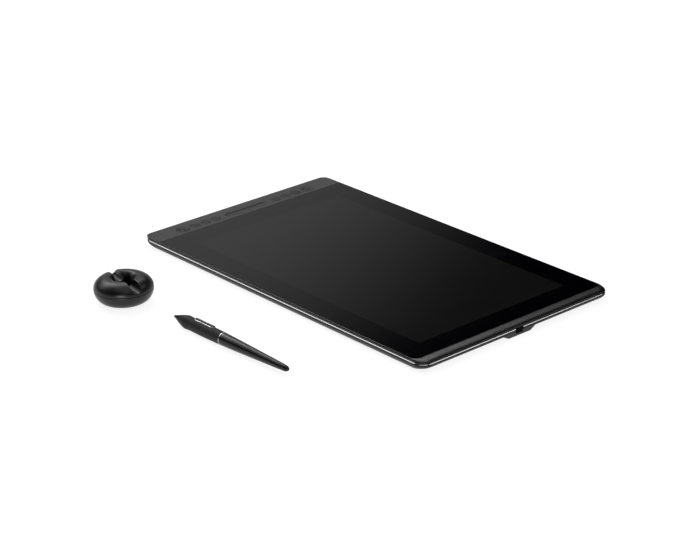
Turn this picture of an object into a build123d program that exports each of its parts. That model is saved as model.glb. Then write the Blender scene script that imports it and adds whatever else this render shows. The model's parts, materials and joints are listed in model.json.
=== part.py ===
from build123d import *
import os
from math import asin, cos, degrees, radians, sin, sqrt

os.makedirs("parts", exist_ok=True)

# Frame: the origin is the middle of the tablet on the desk, +X runs to its port side,
# +Y to its far long edge and +Z up. The pen and its stand are on the same desk.

# Tablet body: the lit screen and the borders round it give its outline
screen_length = 344.16
screen_depth = 193.59
key_side_border = 57.07
port_side_border = 36.07
long_side_border = 28.605
corner_radius = 12.0
foot_height = 1.2
shell_height = 4.7
ring_height = 3.2
rim_height = 2.4
port_rim_width = 11.5
side_rim_width = 1.1
strip_width = 28.0
panel_gap = 0.1
cut_overrun = 1.0

tablet_length = key_side_border + screen_length + port_side_border
tablet_depth = screen_depth + 2 * long_side_border
half_length = tablet_length / 2
half_depth = tablet_depth / 2
shell_bottom = foot_height
ring_bottom = shell_bottom + shell_height
frame_bottom = ring_bottom + ring_height
top_level = frame_bottom + rim_height

# Rear shell: it tucks in under the tablet, most at its two short sides
tuck_length = 7.0
tuck_depth = 3.0
tuck_corner = 1.5
tuck_height_shares = (0, 0.3, 0.7, 1)
tuck_inset_shares = (1, 0.55, 0.15, 0)
shell_floor = 1.6
shell_wall = 2.2
rib_thickness = 1.2
rib_x_shares = (-0.64, -0.42, -0.19, 0.04, 0.27)
rib_reach_share = 0.78
cable_lane = 20.0
floor_top = shell_bottom + shell_floor

# Trim ring, from the bottom up: a dark groove, an upright band, a polished chamfer and a neck
ring_groove_height = 0.3
ring_groove_depth = 0.4
ring_band_height = 1.5
chamfer_height = 0.9
chamfer_depth = 0.9
ring_width = 2.0

# Front frame: its rim rolls down to the port side and narrows round the corners
rim_land = 0.4
rim_roll = 0.8
rim_corner_loss = 3.6
rim_height_shares = (0, 0.35, 0.65, 0.87, 0.96, 1)
skirt_inset = 3.0
skirt_wall = 1.4
skirt_dip = 1.0

# Cover glass and key strip
glass_thickness = 1.1
glass_corner_radius = 8.0
strip_thickness = 1.2
window_ledge = 8.0
glass_x_min = -half_length + strip_width
glass_x_max = half_length - port_rim_width
glass_half_depth = half_depth - side_rim_width
strip_x_min = -half_length + side_rim_width
strip_bottom = top_level - strip_thickness

# Display stack, from the glass down
cell_margin = 3.9
cell_thickness = 1.3
guide_inset = 1.0
guide_thickness = 1.6
tray_inset = 0.2
tray_floor = 0.4
sensor_thickness = 0.6
shield_thickness = 0.3
frame_opening_gap = 0.9
screen_center_x = -half_length + key_side_border + screen_length / 2
cell_length = screen_length + 2 * cell_margin
cell_depth = screen_depth + 2 * cell_margin
cell_x_max = screen_center_x + cell_length / 2
cell_bottom = top_level - glass_thickness - cell_thickness
guide_bottom = cell_bottom - guide_thickness
tray_bottom = guide_bottom - tray_floor
sensor_bottom = tray_bottom - sensor_thickness
shield_bottom = sensor_bottom - shield_thickness

# Round keys, from each end of the strip inwards: a large one and three small ones, with the free
# space behind each one's flange; the touch bar takes the room between the two groups
key_line_inset = 17.65
key_end_gap = 32.05
large_key_radius = 7.15
small_key_radius = 5.6
key_radii = (large_key_radius, small_key_radius, small_key_radius, small_key_radius)
key_spaces = (2.0, 1.21, 0.89, 4.95)
key_gap = 0.3
key_flange = 0.8
key_flange_gap = 0.1
key_travel = 0.35
key_stop_gap = 0.1
key_crown = 0.25
key_edge = 0.3
dish_depth = 0.5
dish_radius_share = 0.62
dome_radius_share = 0.42
key_line_x = -half_length + key_line_inset
key_group_length = sum(key_spaces) + 2 * sum(radius + key_flange for radius in key_radii)

# Board under the keys, with a low dome switch under each one
key_board_width = 25.0
key_board_end_gap = 23.4
key_board_thickness = 1.0
key_board_drop = 1.0
spacer_radius = 1.6
spacer_edge = 2.2
switch_width = 4.5
switch_height = 0.9
plunger_radius = 1.1
plunger_height = 0.15
key_board_length = tablet_depth - 2 * key_board_end_gap
key_board_top = frame_bottom - key_board_drop
key_board_bottom = key_board_top - key_board_thickness
plunger_top = key_board_top + switch_height + plunger_height
key_bottom = plunger_top + key_travel + key_stop_gap
key_flange_top = strip_bottom - key_flange_gap

# Touch bar: a dished bar in the strip, between the two groups of keys
bar_width = 7.0
bar_dish_depth = 1.0
bar_lip = 0.15
bar_flange = 1.5
touch_film_inset = 1.0
touch_film_thickness = 0.3
bar_length = 2 * (half_depth - key_end_gap - key_group_length - bar_flange)

# Main board and its socket, at the middle of the port side
board_length = 112.0
board_depth = 64.0
board_thickness = 1.0
board_end_gap = 6.65
standoff_height = 0.6
standoff_radius = 2.5
standoff_edge = 5.0
board_screw_radius = 0.8
board_screw_head_radius = 2.0
board_screw_head_height = 0.8
board_screw_bite = 0.8
thread_gap = 0.05
chip_place_shares = ((-0.1, 0.2), (-0.28, -0.25), (0.12, -0.26), (0.02, 0.3), (0.3, -0.3))
chip_widths = (14.0, 10.0, 8.0, 6.0, 5.0)
chip_height_shares = (0.67, 0.56, 0.5, 0.72, 0.78)
connector_length = 4.0
connector_height = 1.0
cable_thickness = 0.15
key_cable_width = 8.0
display_cable_width = 18.0
cable_y_share = 0.34
cable_slope = 6.0
board_bottom = floor_top + standoff_height
board_top = board_bottom + board_thickness
board_room = shield_bottom - board_top
board_x_max = half_length - board_end_gap
board_x_min = board_x_max - board_length
board_center_x = (board_x_min + board_x_max) / 2

# Port socket, its slot and the bump that they stand in
socket_width = 8.94
socket_height = 3.26
socket_depth = 7.35
socket_wall = 0.3
socket_recess = 3.5
tongue_width = 6.7
tongue_thickness = 0.7
tongue_length = 5.0
slot_width = 11.0
slot_height = 5.3
slot_corner = 1.6
skirt_notch_gap = 1.0
bump_top_width = 41.0
bump_bottom_width = 28.4
bump_straight_height = 1.5
bump_reach = 16.0
bump_setback = 0.3
bump_corner = 2.0
socket_center_z = board_top + socket_height / 2
socket_face_x = half_length - socket_recess

# Case screws and feet
screw_x_shares = (-0.86, -0.3, 0.3, 0.915)
screw_edge = 13.0
post_radius = 2.6
post_gap = 0.1
boss_radius = 3.2
boss_height = 1.5
screw_radius = 0.95
screw_clearance_radius = 1.2
screw_head_radius = 1.8
screw_head_gap = 0.3
screw_recess = 1.0
screw_end_gap = 0.9
foot_length = 70.0
foot_width = 9.0
foot_recess = 0.4
foot_x_share = 0.64
foot_edge = 17.0
center_foot_radius = 12.0
boss_top = floor_top + boss_height

# Pen, lying level and rolled a little, with its rocker at the upper far side; shares along it are
# of its length, radii of its own radius
pen_tip_x = -37.4
pen_tip_y = -219.5
pen_yaw = 1.3
pen_roll = 22.0
pen_length = 172.0
pen_radius = 6.9
nose_profile_shares = ((0.014, 0.2), (0.025, 0.28), (0.037, 0.375), (0.049, 0.47), (0.06, 0.56))
grip_profile_shares = (
    (0.06, 0.56),
    (0.08, 0.71),
    (0.1, 0.85),
    (0.12, 0.975),
    (0.131, 1),
    (0.143, 0.985),
    (0.16, 0.955),
    (0.185, 0.95),
    (0.22, 0.965),
    (0.28, 0.985),
    (0.35, 0.97),
    (0.443, 0.94),
)
barrel_profile_shares = (
    (0.448, 0.935),
    (0.516, 0.895),
    (0.597, 0.825),
    (0.678, 0.748),
    (0.76, 0.668),
    (0.841, 0.593),
    (0.923, 0.515),
    (0.965, 0.455),
)
pen_ring_radius_share = 0.948
pen_wall = 2.1
pen_neck_step = 2.2
pen_neck_length = 6.5
pen_fit = 0.1
nib_radius = 0.8
nib_tip_radius = 0.4
nib_gap = 0.15
nib_length = 28.0
nib_travel = 0.5
nib_stop_gap = 0.3
core_gap = 0.2
core_wall = 0.7
core_end_share = 0.56
coil_length = 10.5
force_sensor_length = 4.7
pen_board_length = 60.0
pen_board_gap = 0.9
pen_board_thickness = 0.8
pen_board_drop = 0.5
barrel_mid_bore_step = 1.4
barrel_end_bore_step = 1.3
barrel_bore_share = 0.58
barrel_mid_bore_share = 0.78
barrel_end_bore_share = 0.93
pen_bore_radius = pen_radius - pen_wall
pen_neck_bore_radius = pen_bore_radius - pen_neck_step
core_radius = pen_bore_radius - core_gap
core_bore_radius = core_radius - core_wall
pen_board_width = 2 * (core_bore_radius - pen_board_gap)
barrel_mid_bore_radius = pen_bore_radius - barrel_mid_bore_step
barrel_end_bore_radius = barrel_mid_bore_radius - barrel_end_bore_step

# Rocker on the pen, its pivot pin and the bright bezel round it that carries the pin
rocker_start = 32.0
rocker_length = 28.7
rocker_width = 5.0
rocker_stand = 0.85
rocker_seat = 0.3
rocker_gap = 0.3
rocker_edge = 0.35
bezel_width = 0.7
bezel_stand = 0.1
bezel_seat = 0.2
pivot_radius = 0.5
pivot_fit = 0.05
pivot_end_gap = 0.15
pusher_radius = 0.9
pusher_spread = 6.2
pen_switch_length = 3.5
pen_switch_width = 3.0
pen_switch_height = 2.0
pen_plunger_radius = 0.7
pen_plunger_height = 0.7
pusher_gap = 0.6
core_window_floor = 1.4
core_window_gap = 0.8
rocker_bottom_radius = pen_bore_radius + rocker_seat
bezel_bottom_radius = pen_bore_radius + bezel_seat
pivot_level = bezel_bottom_radius
pivot_reach = rocker_width / 2 + bezel_width - pivot_end_gap

# Pen stand
stand_x = -113.2
stand_y = -224.7
stand_radius = 30.2
stand_height = 26.8
stand_seam_level = 15.2
stand_crown_radius = 15.7
stand_base_radius = 18.0
stand_foot_height = 1.0
stand_foot_inner_radius = 11.0
stand_foot_setback = 0.4
seam_gap = 0.3
well_radius = 8.25
well_wall = 1.6
funnel_height = 9.2
well_floor_level = 4.7
well_floor_thickness = 1.2
saddle_radius = 5.0
saddle_depth = 9.0
saddle_yaw = -7.2
saddle_wall = 1.6
spigot_depth = 3.0
spigot_wall = 1.4
spigot_gap = 0.3
base_floor_level = 3.2
stand_wall = 2.6
base_cavity_shares = ((0.74, 0), (0.9, 0.4), (1, 0.74))
ballast_height = 1.8
ballast_setback = 2.3
ballast_gap = 0.4
nib_tray_edge_gap = 5.3
nib_tray_height = 4.0
nib_tray_floor = 0.6
spare_nib_count = 10
spare_nib_edge = 3.3
spare_nib_head_gap = 0.6
spare_nib_gap = 0.1
puller_outer_radius = 2.5
puller_wall = 0.7
puller_height = 1.2


def outline(inset_x, inset_y, radius):
    """Draw the tablet's outline in the open sketch, drawn in by an inset each way."""
    RectangleRounded(tablet_length - 2 * inset_x, tablet_depth - 2 * inset_y, radius)


def screw_places():
    """Give the middles of the case screws, in two rows along the long edges."""
    row_y = half_depth - screw_edge
    return [(share * half_length, side * row_y) for share in screw_x_shares for side in (-1, 1)]


def foot_places():
    """Give the middles of the four long feet."""
    foot_x = foot_x_share * half_length
    foot_y = half_depth - foot_edge
    return [(side_x * foot_x, side_y * foot_y) for side_x in (-1, 1) for side_y in (-1, 1)]


def board_corners():
    """Give the places of the main board's four screws."""
    reach_x = board_length / 2 - standoff_edge
    reach_y = board_depth / 2 - standoff_edge
    return [
        (board_center_x + side_x * reach_x, side_y * reach_y)
        for side_x in (-1, 1)
        for side_y in (-1, 1)
    ]


def key_places():
    """Give each key's y on the strip and the radius of its hole, from the near end."""
    places = []
    flange_end = half_depth - key_end_gap
    for hole_radius, free_space in zip(key_radii, key_spaces):
        key_y = flange_end - hole_radius - key_flange
        flange_end -= 2 * (hole_radius + key_flange) + free_space
        places += [(-key_y, hole_radius), (key_y, hole_radius)]
    return sorted(places)


def crown_arc(radius, edge_level, middle_level):
    """Draw the side view of a crowned top: from its edge up to its middle, on the axis."""
    rise = middle_level - edge_level
    arc_radius = (radius**2 + rise**2) / (2 * rise)
    sweep = degrees(asin(radius / arc_radius))
    CenterArc((0, middle_level - arc_radius), arc_radius, 90 - sweep, sweep)


# Rear shell
with BuildPart() as rear_shell:
    for height_share, inset_share in zip(tuck_height_shares, tuck_inset_shares):
        with BuildSketch(Plane.XY.offset(shell_bottom + height_share * shell_height)):
            outline(
                inset_share * tuck_length,
                inset_share * tuck_depth,
                corner_radius - inset_share * tuck_corner,
            )
    loft()
    with BuildSketch(Plane.YZ.offset(half_length - bump_setback)) as bump_side:
        with BuildLine():
            Polyline(
                (-bump_bottom_width / 2, shell_bottom),
                (bump_bottom_width / 2, shell_bottom),
                (bump_top_width / 2, ring_bottom - bump_straight_height),
                (bump_top_width / 2, ring_bottom),
                (-bump_top_width / 2, ring_bottom),
                (-bump_top_width / 2, ring_bottom - bump_straight_height),
                close=True,
            )
        make_face()
        fillet(bump_side.vertices().group_by(Axis.Y)[0], bump_corner)
    extrude(amount=-bump_reach)
    for height_share, inset_share in zip(tuck_height_shares[1:], tuck_inset_shares[1:]):
        level = max(shell_bottom + height_share * shell_height, floor_top)
        with BuildSketch(Plane.XY.offset(level)):
            outline(
                inset_share * tuck_length + shell_wall,
                inset_share * tuck_depth + shell_wall,
                corner_radius - inset_share * tuck_corner - shell_wall,
            )
    loft(mode=Mode.SUBTRACT)
    with BuildSketch(Plane.XY.offset(floor_top)):
        with Locations(*screw_places()):
            Circle(boss_radius)
    extrude(amount=boss_height)
    with BuildSketch(Plane.XY.offset(floor_top)):
        with Locations(*board_corners()):
            Circle(standoff_radius)
    extrude(amount=standoff_height)
    with BuildSketch(Plane.XY.offset(floor_top)):
        rib_half_reach = rib_reach_share * half_depth
        for share in rib_x_shares:
            for side in (-1, 1):
                with Locations((share * half_length, side * (rib_half_reach + cable_lane / 2) / 2)):
                    Rectangle(rib_thickness, rib_half_reach - cable_lane / 2)
        rib_span = (rib_x_shares[-1] - rib_x_shares[0]) * half_length
        rib_middle = (rib_x_shares[-1] + rib_x_shares[0]) * half_length / 2
        for side in (-1, 1):
            with Locations((rib_middle, side * rib_half_reach / 2)):
                Rectangle(rib_span, rib_thickness)
    extrude(amount=shield_bottom - floor_top)
    with BuildSketch(Plane.XY.offset(shell_bottom)):
        with Locations(*screw_places()):
            Circle(screw_head_radius + screw_head_gap)
    extrude(amount=screw_recess, mode=Mode.SUBTRACT)
    with BuildSketch(Plane.XY.offset(shell_bottom)):
        with Locations(*screw_places()):
            Circle(screw_clearance_radius)
    extrude(amount=boss_top - shell_bottom, mode=Mode.SUBTRACT)
    with BuildSketch(Plane.XY.offset(board_bottom)):
        with Locations(*board_corners()):
            Circle(board_screw_radius + thread_gap)
    extrude(amount=-(standoff_height + board_screw_bite + thread_gap), mode=Mode.SUBTRACT)
    with BuildSketch(Plane.XY.offset(shell_bottom)):
        with Locations(*foot_places()):
            SlotOverall(foot_length, foot_width)
        Circle(center_foot_radius)
    extrude(amount=foot_recess, mode=Mode.SUBTRACT)
    with BuildSketch(Plane.YZ.offset(socket_face_x - socket_depth)):
        with Locations((0, socket_center_z)):
            RectangleRounded(slot_width, slot_height, slot_corner)
    extrude(amount=socket_depth + socket_recess + cut_overrun, mode=Mode.SUBTRACT)

rear_shell.part.label = "rear_shell"
export_step(rear_shell.part, "parts/rear_shell.step")

# Rubber feet: four long ones and a round one under the middle
with BuildPart() as rubber_feet:
    with BuildSketch():
        with Locations(*foot_places()):
            SlotOverall(foot_length - 2 * panel_gap, foot_width - 2 * panel_gap)
        Circle(center_foot_radius - panel_gap)
    extrude(amount=foot_height + foot_recess)

rubber_feet.part.label = "rubber_feet"
export_step(rubber_feet.part, "parts/rubber_feet.step")

# Trim ring
with BuildPart() as trim_ring:
    with BuildSketch(Plane.XY.offset(ring_bottom)):
        outline(ring_groove_depth, ring_groove_depth, corner_radius - ring_groove_depth)
    extrude(amount=ring_groove_height)
    with BuildSketch(Plane.XY.offset(ring_bottom + ring_groove_height)):
        outline(0, 0, corner_radius)
    extrude(amount=ring_band_height)
    chamfer_level = ring_bottom + ring_groove_height + ring_band_height
    for level, inset in ((chamfer_level, 0), (chamfer_level + chamfer_height, chamfer_depth)):
        with BuildSketch(Plane.XY.offset(level)):
            outline(inset, inset, corner_radius - inset)
    loft(ruled=True)
    with BuildSketch(Plane.XY.offset(chamfer_level + chamfer_height)):
        outline(chamfer_depth, chamfer_depth, corner_radius - chamfer_depth)
    extrude(amount=frame_bottom - chamfer_level - chamfer_height)
    with BuildSketch(Plane.XY.offset(ring_bottom)):
        outline(ring_width, ring_width, corner_radius - ring_width)
    extrude(amount=ring_height, mode=Mode.SUBTRACT)
    with BuildSketch(Plane.YZ.offset(half_length - 2 * ring_width)):
        with Locations((0, socket_center_z)):
            RectangleRounded(slot_width, slot_height, slot_corner)
    extrude(amount=2 * ring_width + cut_overrun, mode=Mode.SUBTRACT)

trim_ring.part.label = "trim_ring"
export_step(trim_ring.part, "parts/trim_ring.step")

# Front frame
with BuildPart() as front_frame:
    for height_share in rim_height_shares:
        inset_share = 1 - sqrt(1 - height_share**2)
        x_min = -half_length + inset_share * rim_roll
        x_max = half_length - inset_share * (port_rim_width - rim_land)
        with BuildSketch(Plane.XY.offset(frame_bottom + height_share * rim_height)):
            with Locations(((x_min + x_max) / 2, 0)):
                RectangleRounded(
                    x_max - x_min,
                    tablet_depth - 2 * inset_share * rim_roll,
                    corner_radius - inset_share * rim_corner_loss,
                )
    loft()
    with BuildSketch(Plane.XY.offset(frame_bottom)):
        outline(skirt_inset, skirt_inset, corner_radius - skirt_inset)
        skirt_inner = skirt_inset + skirt_wall
        RectangleRounded(
            tablet_length - 2 * skirt_inner,
            tablet_depth - 2 * skirt_inner,
            corner_radius - skirt_inner,
            mode=Mode.SUBTRACT,
        )
    extrude(amount=-(ring_height + skirt_dip))
    with BuildSketch(Plane.XY.offset(boss_top + post_gap)):
        with Locations(*screw_places()):
            Circle(post_radius)
    extrude(amount=frame_bottom - boss_top - post_gap)
    with BuildSketch(Plane.XY.offset(key_board_top)):
        with Locations((key_line_x, 0)):
            with GridLocations(
                key_board_width - 2 * spacer_edge, key_board_length - 2 * spacer_edge, 2, 2
            ):
                Circle(spacer_radius)
    extrude(amount=key_board_drop)
    with BuildSketch(Plane.XY.offset(top_level - glass_thickness)):
        with Locations(((strip_x_min - panel_gap + glass_x_max + panel_gap) / 2, 0)):
            RectangleRounded(
                glass_x_max - strip_x_min + 2 * panel_gap,
                2 * (glass_half_depth + panel_gap),
                glass_corner_radius + panel_gap,
            )
    extrude(amount=glass_thickness + cut_overrun, mode=Mode.SUBTRACT)
    with BuildSketch(Plane.XY.offset(strip_bottom)) as strip_pocket:
        with Locations(((strip_x_min - panel_gap + glass_x_min) / 2, 0)):
            Rectangle(glass_x_min - strip_x_min + panel_gap, 2 * (glass_half_depth + panel_gap))
        fillet(strip_pocket.vertices().group_by(Axis.X)[0], glass_corner_radius + panel_gap)
    extrude(amount=strip_thickness + cut_overrun, mode=Mode.SUBTRACT)
    with BuildSketch(Plane.XY.offset(frame_bottom)):
        with Locations((screen_center_x, 0)):
            Rectangle(cell_length + 2 * frame_opening_gap, cell_depth + 2 * frame_opening_gap)
        with Locations((key_line_x, 0)):
            Rectangle(key_board_width - window_ledge, key_board_length - window_ledge)
    extrude(amount=rim_height + cut_overrun, mode=Mode.SUBTRACT)
    with BuildSketch(Plane.XY.offset(boss_top + post_gap)):
        with Locations(*screw_places()):
            Circle(screw_radius + thread_gap)
    extrude(amount=frame_bottom - boss_top - screw_end_gap + thread_gap, mode=Mode.SUBTRACT)
    with BuildSketch(Plane.YZ.offset(socket_face_x - socket_depth)):
        with Locations((0, socket_center_z)):
            Rectangle(slot_width + 2 * skirt_notch_gap, slot_height)
    extrude(amount=socket_depth + socket_recess + cut_overrun, mode=Mode.SUBTRACT)

front_frame.part.label = "front_frame"
export_step(front_frame.part, "parts/front_frame.step")

# Case screws, driven up from below into the frame's posts
with BuildPart() as case_screws:
    head_seat = shell_bottom + screw_recess
    with BuildSketch(Plane.XY.offset(head_seat)):
        with Locations(*screw_places()):
            Circle(screw_head_radius)
    extrude(amount=-(screw_recess - panel_gap))
    with BuildSketch(Plane.XY.offset(head_seat)):
        with Locations(*screw_places()):
            Circle(screw_radius)
    extrude(amount=frame_bottom - screw_end_gap - head_seat)
    with BuildSketch(Plane.XY.offset(shell_bottom)):
        with Locations(*screw_places()):
            RegularPolygon(screw_radius, 6)
    extrude(amount=screw_recess / 2, mode=Mode.SUBTRACT)

case_screws.part.label = "case_screws"
export_step(case_screws.part, "parts/case_screws.step")

# Cover glass
with BuildPart() as cover_glass:
    with BuildSketch(Plane.XY.offset(top_level - glass_thickness)) as glass_face:
        with Locations(((glass_x_min + glass_x_max) / 2, 0)):
            Rectangle(glass_x_max - glass_x_min, 2 * glass_half_depth)
        fillet(glass_face.vertices().group_by(Axis.X)[-1], glass_corner_radius)
    extrude(amount=glass_thickness)

cover_glass.part.label = "cover_glass"
export_step(cover_glass.part, "parts/cover_glass.step")

# Key strip, with a hole for each key and a slot for the touch bar
with BuildPart() as key_strip:
    with BuildSketch(Plane.XY.offset(strip_bottom)) as strip_face:
        with Locations(((strip_x_min + glass_x_min - panel_gap) / 2, 0)):
            Rectangle(glass_x_min - panel_gap - strip_x_min, 2 * glass_half_depth)
        fillet(strip_face.vertices().group_by(Axis.X)[0], glass_corner_radius)
        for key_y, hole_radius in key_places():
            with Locations((key_line_x, key_y)):
                Circle(hole_radius, mode=Mode.SUBTRACT)
        with Locations((key_line_x, 0)):
            SlotOverall(bar_length, bar_width, rotation=90, mode=Mode.SUBTRACT)
    extrude(amount=strip_thickness)

key_strip.part.label = "key_strip"
export_step(key_strip.part, "parts/key_strip.step")

# Keys: the small ones are crowned, the large ones have a dish with a dome in its middle
for number, (key_y, hole_radius) in enumerate(key_places(), start=1):
    cap_radius = hole_radius - key_gap
    flange_radius = hole_radius + key_flange
    with BuildPart() as key_cap:
        key_side = Plane(origin=(key_line_x, key_y, 0), x_dir=(1, 0, 0), z_dir=(0, -1, 0))
        with BuildSketch(key_side):
            with BuildLine():
                if hole_radius == large_key_radius:
                    key_top = top_level
                    dish_level = top_level - dish_depth
                    dish_radius = cap_radius * dish_radius_share
                    dome_radius = cap_radius * dome_radius_share
                    Polyline(
                        (cap_radius - key_edge, top_level),
                        (dish_radius, dish_level),
                        (dome_radius, dish_level),
                    )
                    crown_arc(dome_radius, dish_level, key_top)
                else:
                    key_top = top_level + key_crown
                    crown_arc(cap_radius - key_edge, top_level, key_top)
                Polyline(
                    (0, key_top),
                    (0, key_bottom),
                    (flange_radius, key_bottom),
                    (flange_radius, key_flange_top),
                    (cap_radius, key_flange_top),
                    (cap_radius, top_level - key_edge),
                    (cap_radius - key_edge, top_level),
                )
            make_face()
        revolve(axis=Axis((key_line_x, key_y, 0), (0, 0, 1)))
    key_cap.part.label = f"key_{number}"
    export_step(key_cap.part, f"parts/key_{number}.step")

# Touch bar: a hollow runs along its top and turns up at its round ends
with BuildPart() as touch_bar:
    with BuildSketch(Plane.XY.offset(key_flange_top)):
        with Locations((key_line_x, 0)):
            SlotOverall(bar_length - 2 * panel_gap, bar_width - 2 * panel_gap, rotation=90)
    extrude(amount=top_level - key_flange_top)
    with BuildSketch(Plane.XY.offset(key_bottom)):
        with Locations((key_line_x, 0)):
            SlotOverall(bar_length + 2 * bar_flange, bar_width + 2 * bar_flange, rotation=90)
    extrude(amount=key_flange_top - key_bottom)
    dish_half_width = bar_width / 2 - panel_gap - bar_lip
    dish_arc_radius = (dish_half_width**2 + bar_dish_depth**2) / (2 * bar_dish_depth)
    dish_axis_level = top_level - bar_dish_depth + dish_arc_radius
    bar_straight = bar_length - bar_width
    with Locations((key_line_x, 0, dish_axis_level)):
        Cylinder(dish_arc_radius, bar_straight, rotation=(90, 0, 0), mode=Mode.SUBTRACT)
    with Locations(
        (key_line_x, -bar_straight / 2, dish_axis_level),
        (key_line_x, bar_straight / 2, dish_axis_level),
    ):
        Sphere(dish_arc_radius, mode=Mode.SUBTRACT)

touch_bar.part.label = "touch_bar"
export_step(touch_bar.part, "parts/touch_bar.step")

# Touch film under the bar
with BuildPart() as touch_film:
    with BuildSketch(Plane.XY.offset(key_bottom)):
        with Locations((key_line_x, 0)):
            Rectangle(bar_width - touch_film_inset, bar_length - touch_film_inset)
    extrude(amount=-touch_film_thickness)

touch_film.part.label = "touch_film"
export_step(touch_film.part, "parts/touch_film.step")

# Key board and its switches
with BuildPart() as key_board:
    with BuildSketch(Plane.XY.offset(key_board_bottom)):
        with Locations((key_line_x, 0)):
            Rectangle(key_board_width, key_board_length)
    extrude(amount=key_board_thickness)

key_board.part.label = "key_board"
export_step(key_board.part, "parts/key_board.step")

with BuildPart() as key_switches:
    with BuildSketch(Plane.XY.offset(key_board_top)):
        with Locations(*[(key_line_x, key_y) for key_y, hole_radius in key_places()]):
            Rectangle(switch_width, switch_width)
    extrude(amount=switch_height)
    with BuildSketch(Plane.XY.offset(key_board_top + switch_height)):
        with Locations(*[(key_line_x, key_y) for key_y, hole_radius in key_places()]):
            Circle(plunger_radius)
    extrude(amount=plunger_height)

key_switches.part.label = "key_switches"
export_step(key_switches.part, "parts/key_switches.step")

# Display cell, light guide and their tray
with BuildPart() as display_cell:
    with BuildSketch(Plane.XY.offset(cell_bottom)):
        with Locations((screen_center_x, 0)):
            Rectangle(cell_length, cell_depth)
    extrude(amount=cell_thickness)

display_cell.part.label = "display_cell"
export_step(display_cell.part, "parts/display_cell.step")

with BuildPart() as light_guide:
    with BuildSketch(Plane.XY.offset(guide_bottom)):
        with Locations((screen_center_x, 0)):
            Rectangle(cell_length - 2 * guide_inset, cell_depth - 2 * guide_inset)
    extrude(amount=guide_thickness)

light_guide.part.label = "light_guide"
export_step(light_guide.part, "parts/light_guide.step")

with BuildPart() as backlight_tray:
    with BuildSketch(Plane.XY.offset(tray_bottom)):
        with Locations((screen_center_x, 0)):
            Rectangle(cell_length - 2 * tray_inset, cell_depth - 2 * tray_inset)
    extrude(amount=cell_bottom - tray_bottom)
    with BuildSketch(Plane.XY.offset(guide_bottom)):
        with Locations((screen_center_x, 0)):
            Rectangle(cell_length - 2 * guide_inset, cell_depth - 2 * guide_inset)
    extrude(amount=guide_thickness, mode=Mode.SUBTRACT)

backlight_tray.part.label = "backlight_tray"
export_step(backlight_tray.part, "parts/backlight_tray.step")

# Pen sensor board and the shield behind it
with BuildPart() as pen_sensor_board:
    with BuildSketch(Plane.XY.offset(sensor_bottom)):
        with Locations((screen_center_x, 0)):
            Rectangle(cell_length - 2 * guide_inset, cell_depth - 2 * guide_inset)
    extrude(amount=sensor_thickness)

pen_sensor_board.part.label = "pen_sensor_board"
export_step(pen_sensor_board.part, "parts/pen_sensor_board.step")

with BuildPart() as shield_plate:
    with BuildSketch(Plane.XY.offset(shield_bottom)):
        with Locations((screen_center_x, 0)):
            Rectangle(cell_length - 2 * guide_inset, cell_depth - 2 * guide_inset)
    extrude(amount=shield_thickness)

shield_plate.part.label = "shield_plate"
export_step(shield_plate.part, "parts/shield_plate.step")

# Main board, its chips, connectors and screws
with BuildPart() as main_board:
    with BuildSketch(Plane.XY.offset(board_bottom)):
        with Locations((board_center_x, 0)):
            Rectangle(board_length, board_depth)
        with Locations(*board_corners()):
            Circle(board_screw_radius + thread_gap, mode=Mode.SUBTRACT)
    extrude(amount=board_thickness)

main_board.part.label = "main_board"
export_step(main_board.part, "parts/main_board.step")

with BuildPart() as board_chips:
    chips = zip(chip_place_shares, chip_widths, chip_height_shares)
    for (share_x, share_y), chip_width, height_share in chips:
        with BuildSketch(Plane.XY.offset(board_top)):
            with Locations((board_center_x + share_x * board_length, share_y * board_depth)):
                Rectangle(chip_width, chip_width)
        extrude(amount=height_share * board_room)

board_chips.part.label = "board_chips"
export_step(board_chips.part, "parts/board_chips.step")

key_connector_x = board_x_min + connector_length
display_connector_x = cell_x_max - 2 * connector_length
display_cable_y = cable_y_share * board_depth
with BuildPart() as board_connectors:
    with BuildSketch(Plane.XY.offset(board_top)):
        with Locations((key_connector_x, 0)):
            Rectangle(connector_length, key_cable_width + connector_length)
        with Locations((display_connector_x, display_cable_y)):
            Rectangle(connector_length, display_cable_width)
    extrude(amount=connector_height)

board_connectors.part.label = "board_connectors"
export_step(board_connectors.part, "parts/board_connectors.step")

with BuildPart() as board_screws:
    with BuildSketch(Plane.XY.offset(board_top)):
        with Locations(*board_corners()):
            Circle(board_screw_head_radius)
    extrude(amount=board_screw_head_height)
    with BuildSketch(Plane.XY.offset(board_top)):
        with Locations(*board_corners()):
            Circle(board_screw_radius)
    extrude(amount=-(board_thickness + standoff_height + board_screw_bite))

board_screws.part.label = "board_screws"
export_step(board_screws.part, "parts/board_screws.step")

# Ribbon cable from the key board, along the lane under the shield, to the main board
connector_mid_level = board_top + connector_height / 2
key_cable_start = key_line_x + key_board_width / 4
key_cable_bend = key_line_x + key_board_width / 2 + cable_slope
key_cable_level = shield_bottom - cable_thickness
with BuildPart() as key_cable:
    with BuildSketch(Plane.XZ.offset(-key_cable_width / 2)):
        with BuildLine():
            Polyline(
                (key_cable_start, key_board_bottom - cable_thickness / 2),
                (key_cable_bend, key_board_bottom - cable_thickness / 2),
                (key_cable_bend + cable_slope, key_cable_level),
                (board_x_min - cable_slope, key_cable_level),
                (board_x_min, connector_mid_level),
                (key_connector_x - connector_length / 2, connector_mid_level),
            )
        trace(line_width=cable_thickness)
    extrude(amount=key_cable_width)

key_cable.part.label = "key_cable"
export_step(key_cable.part, "parts/key_cable.step")

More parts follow.
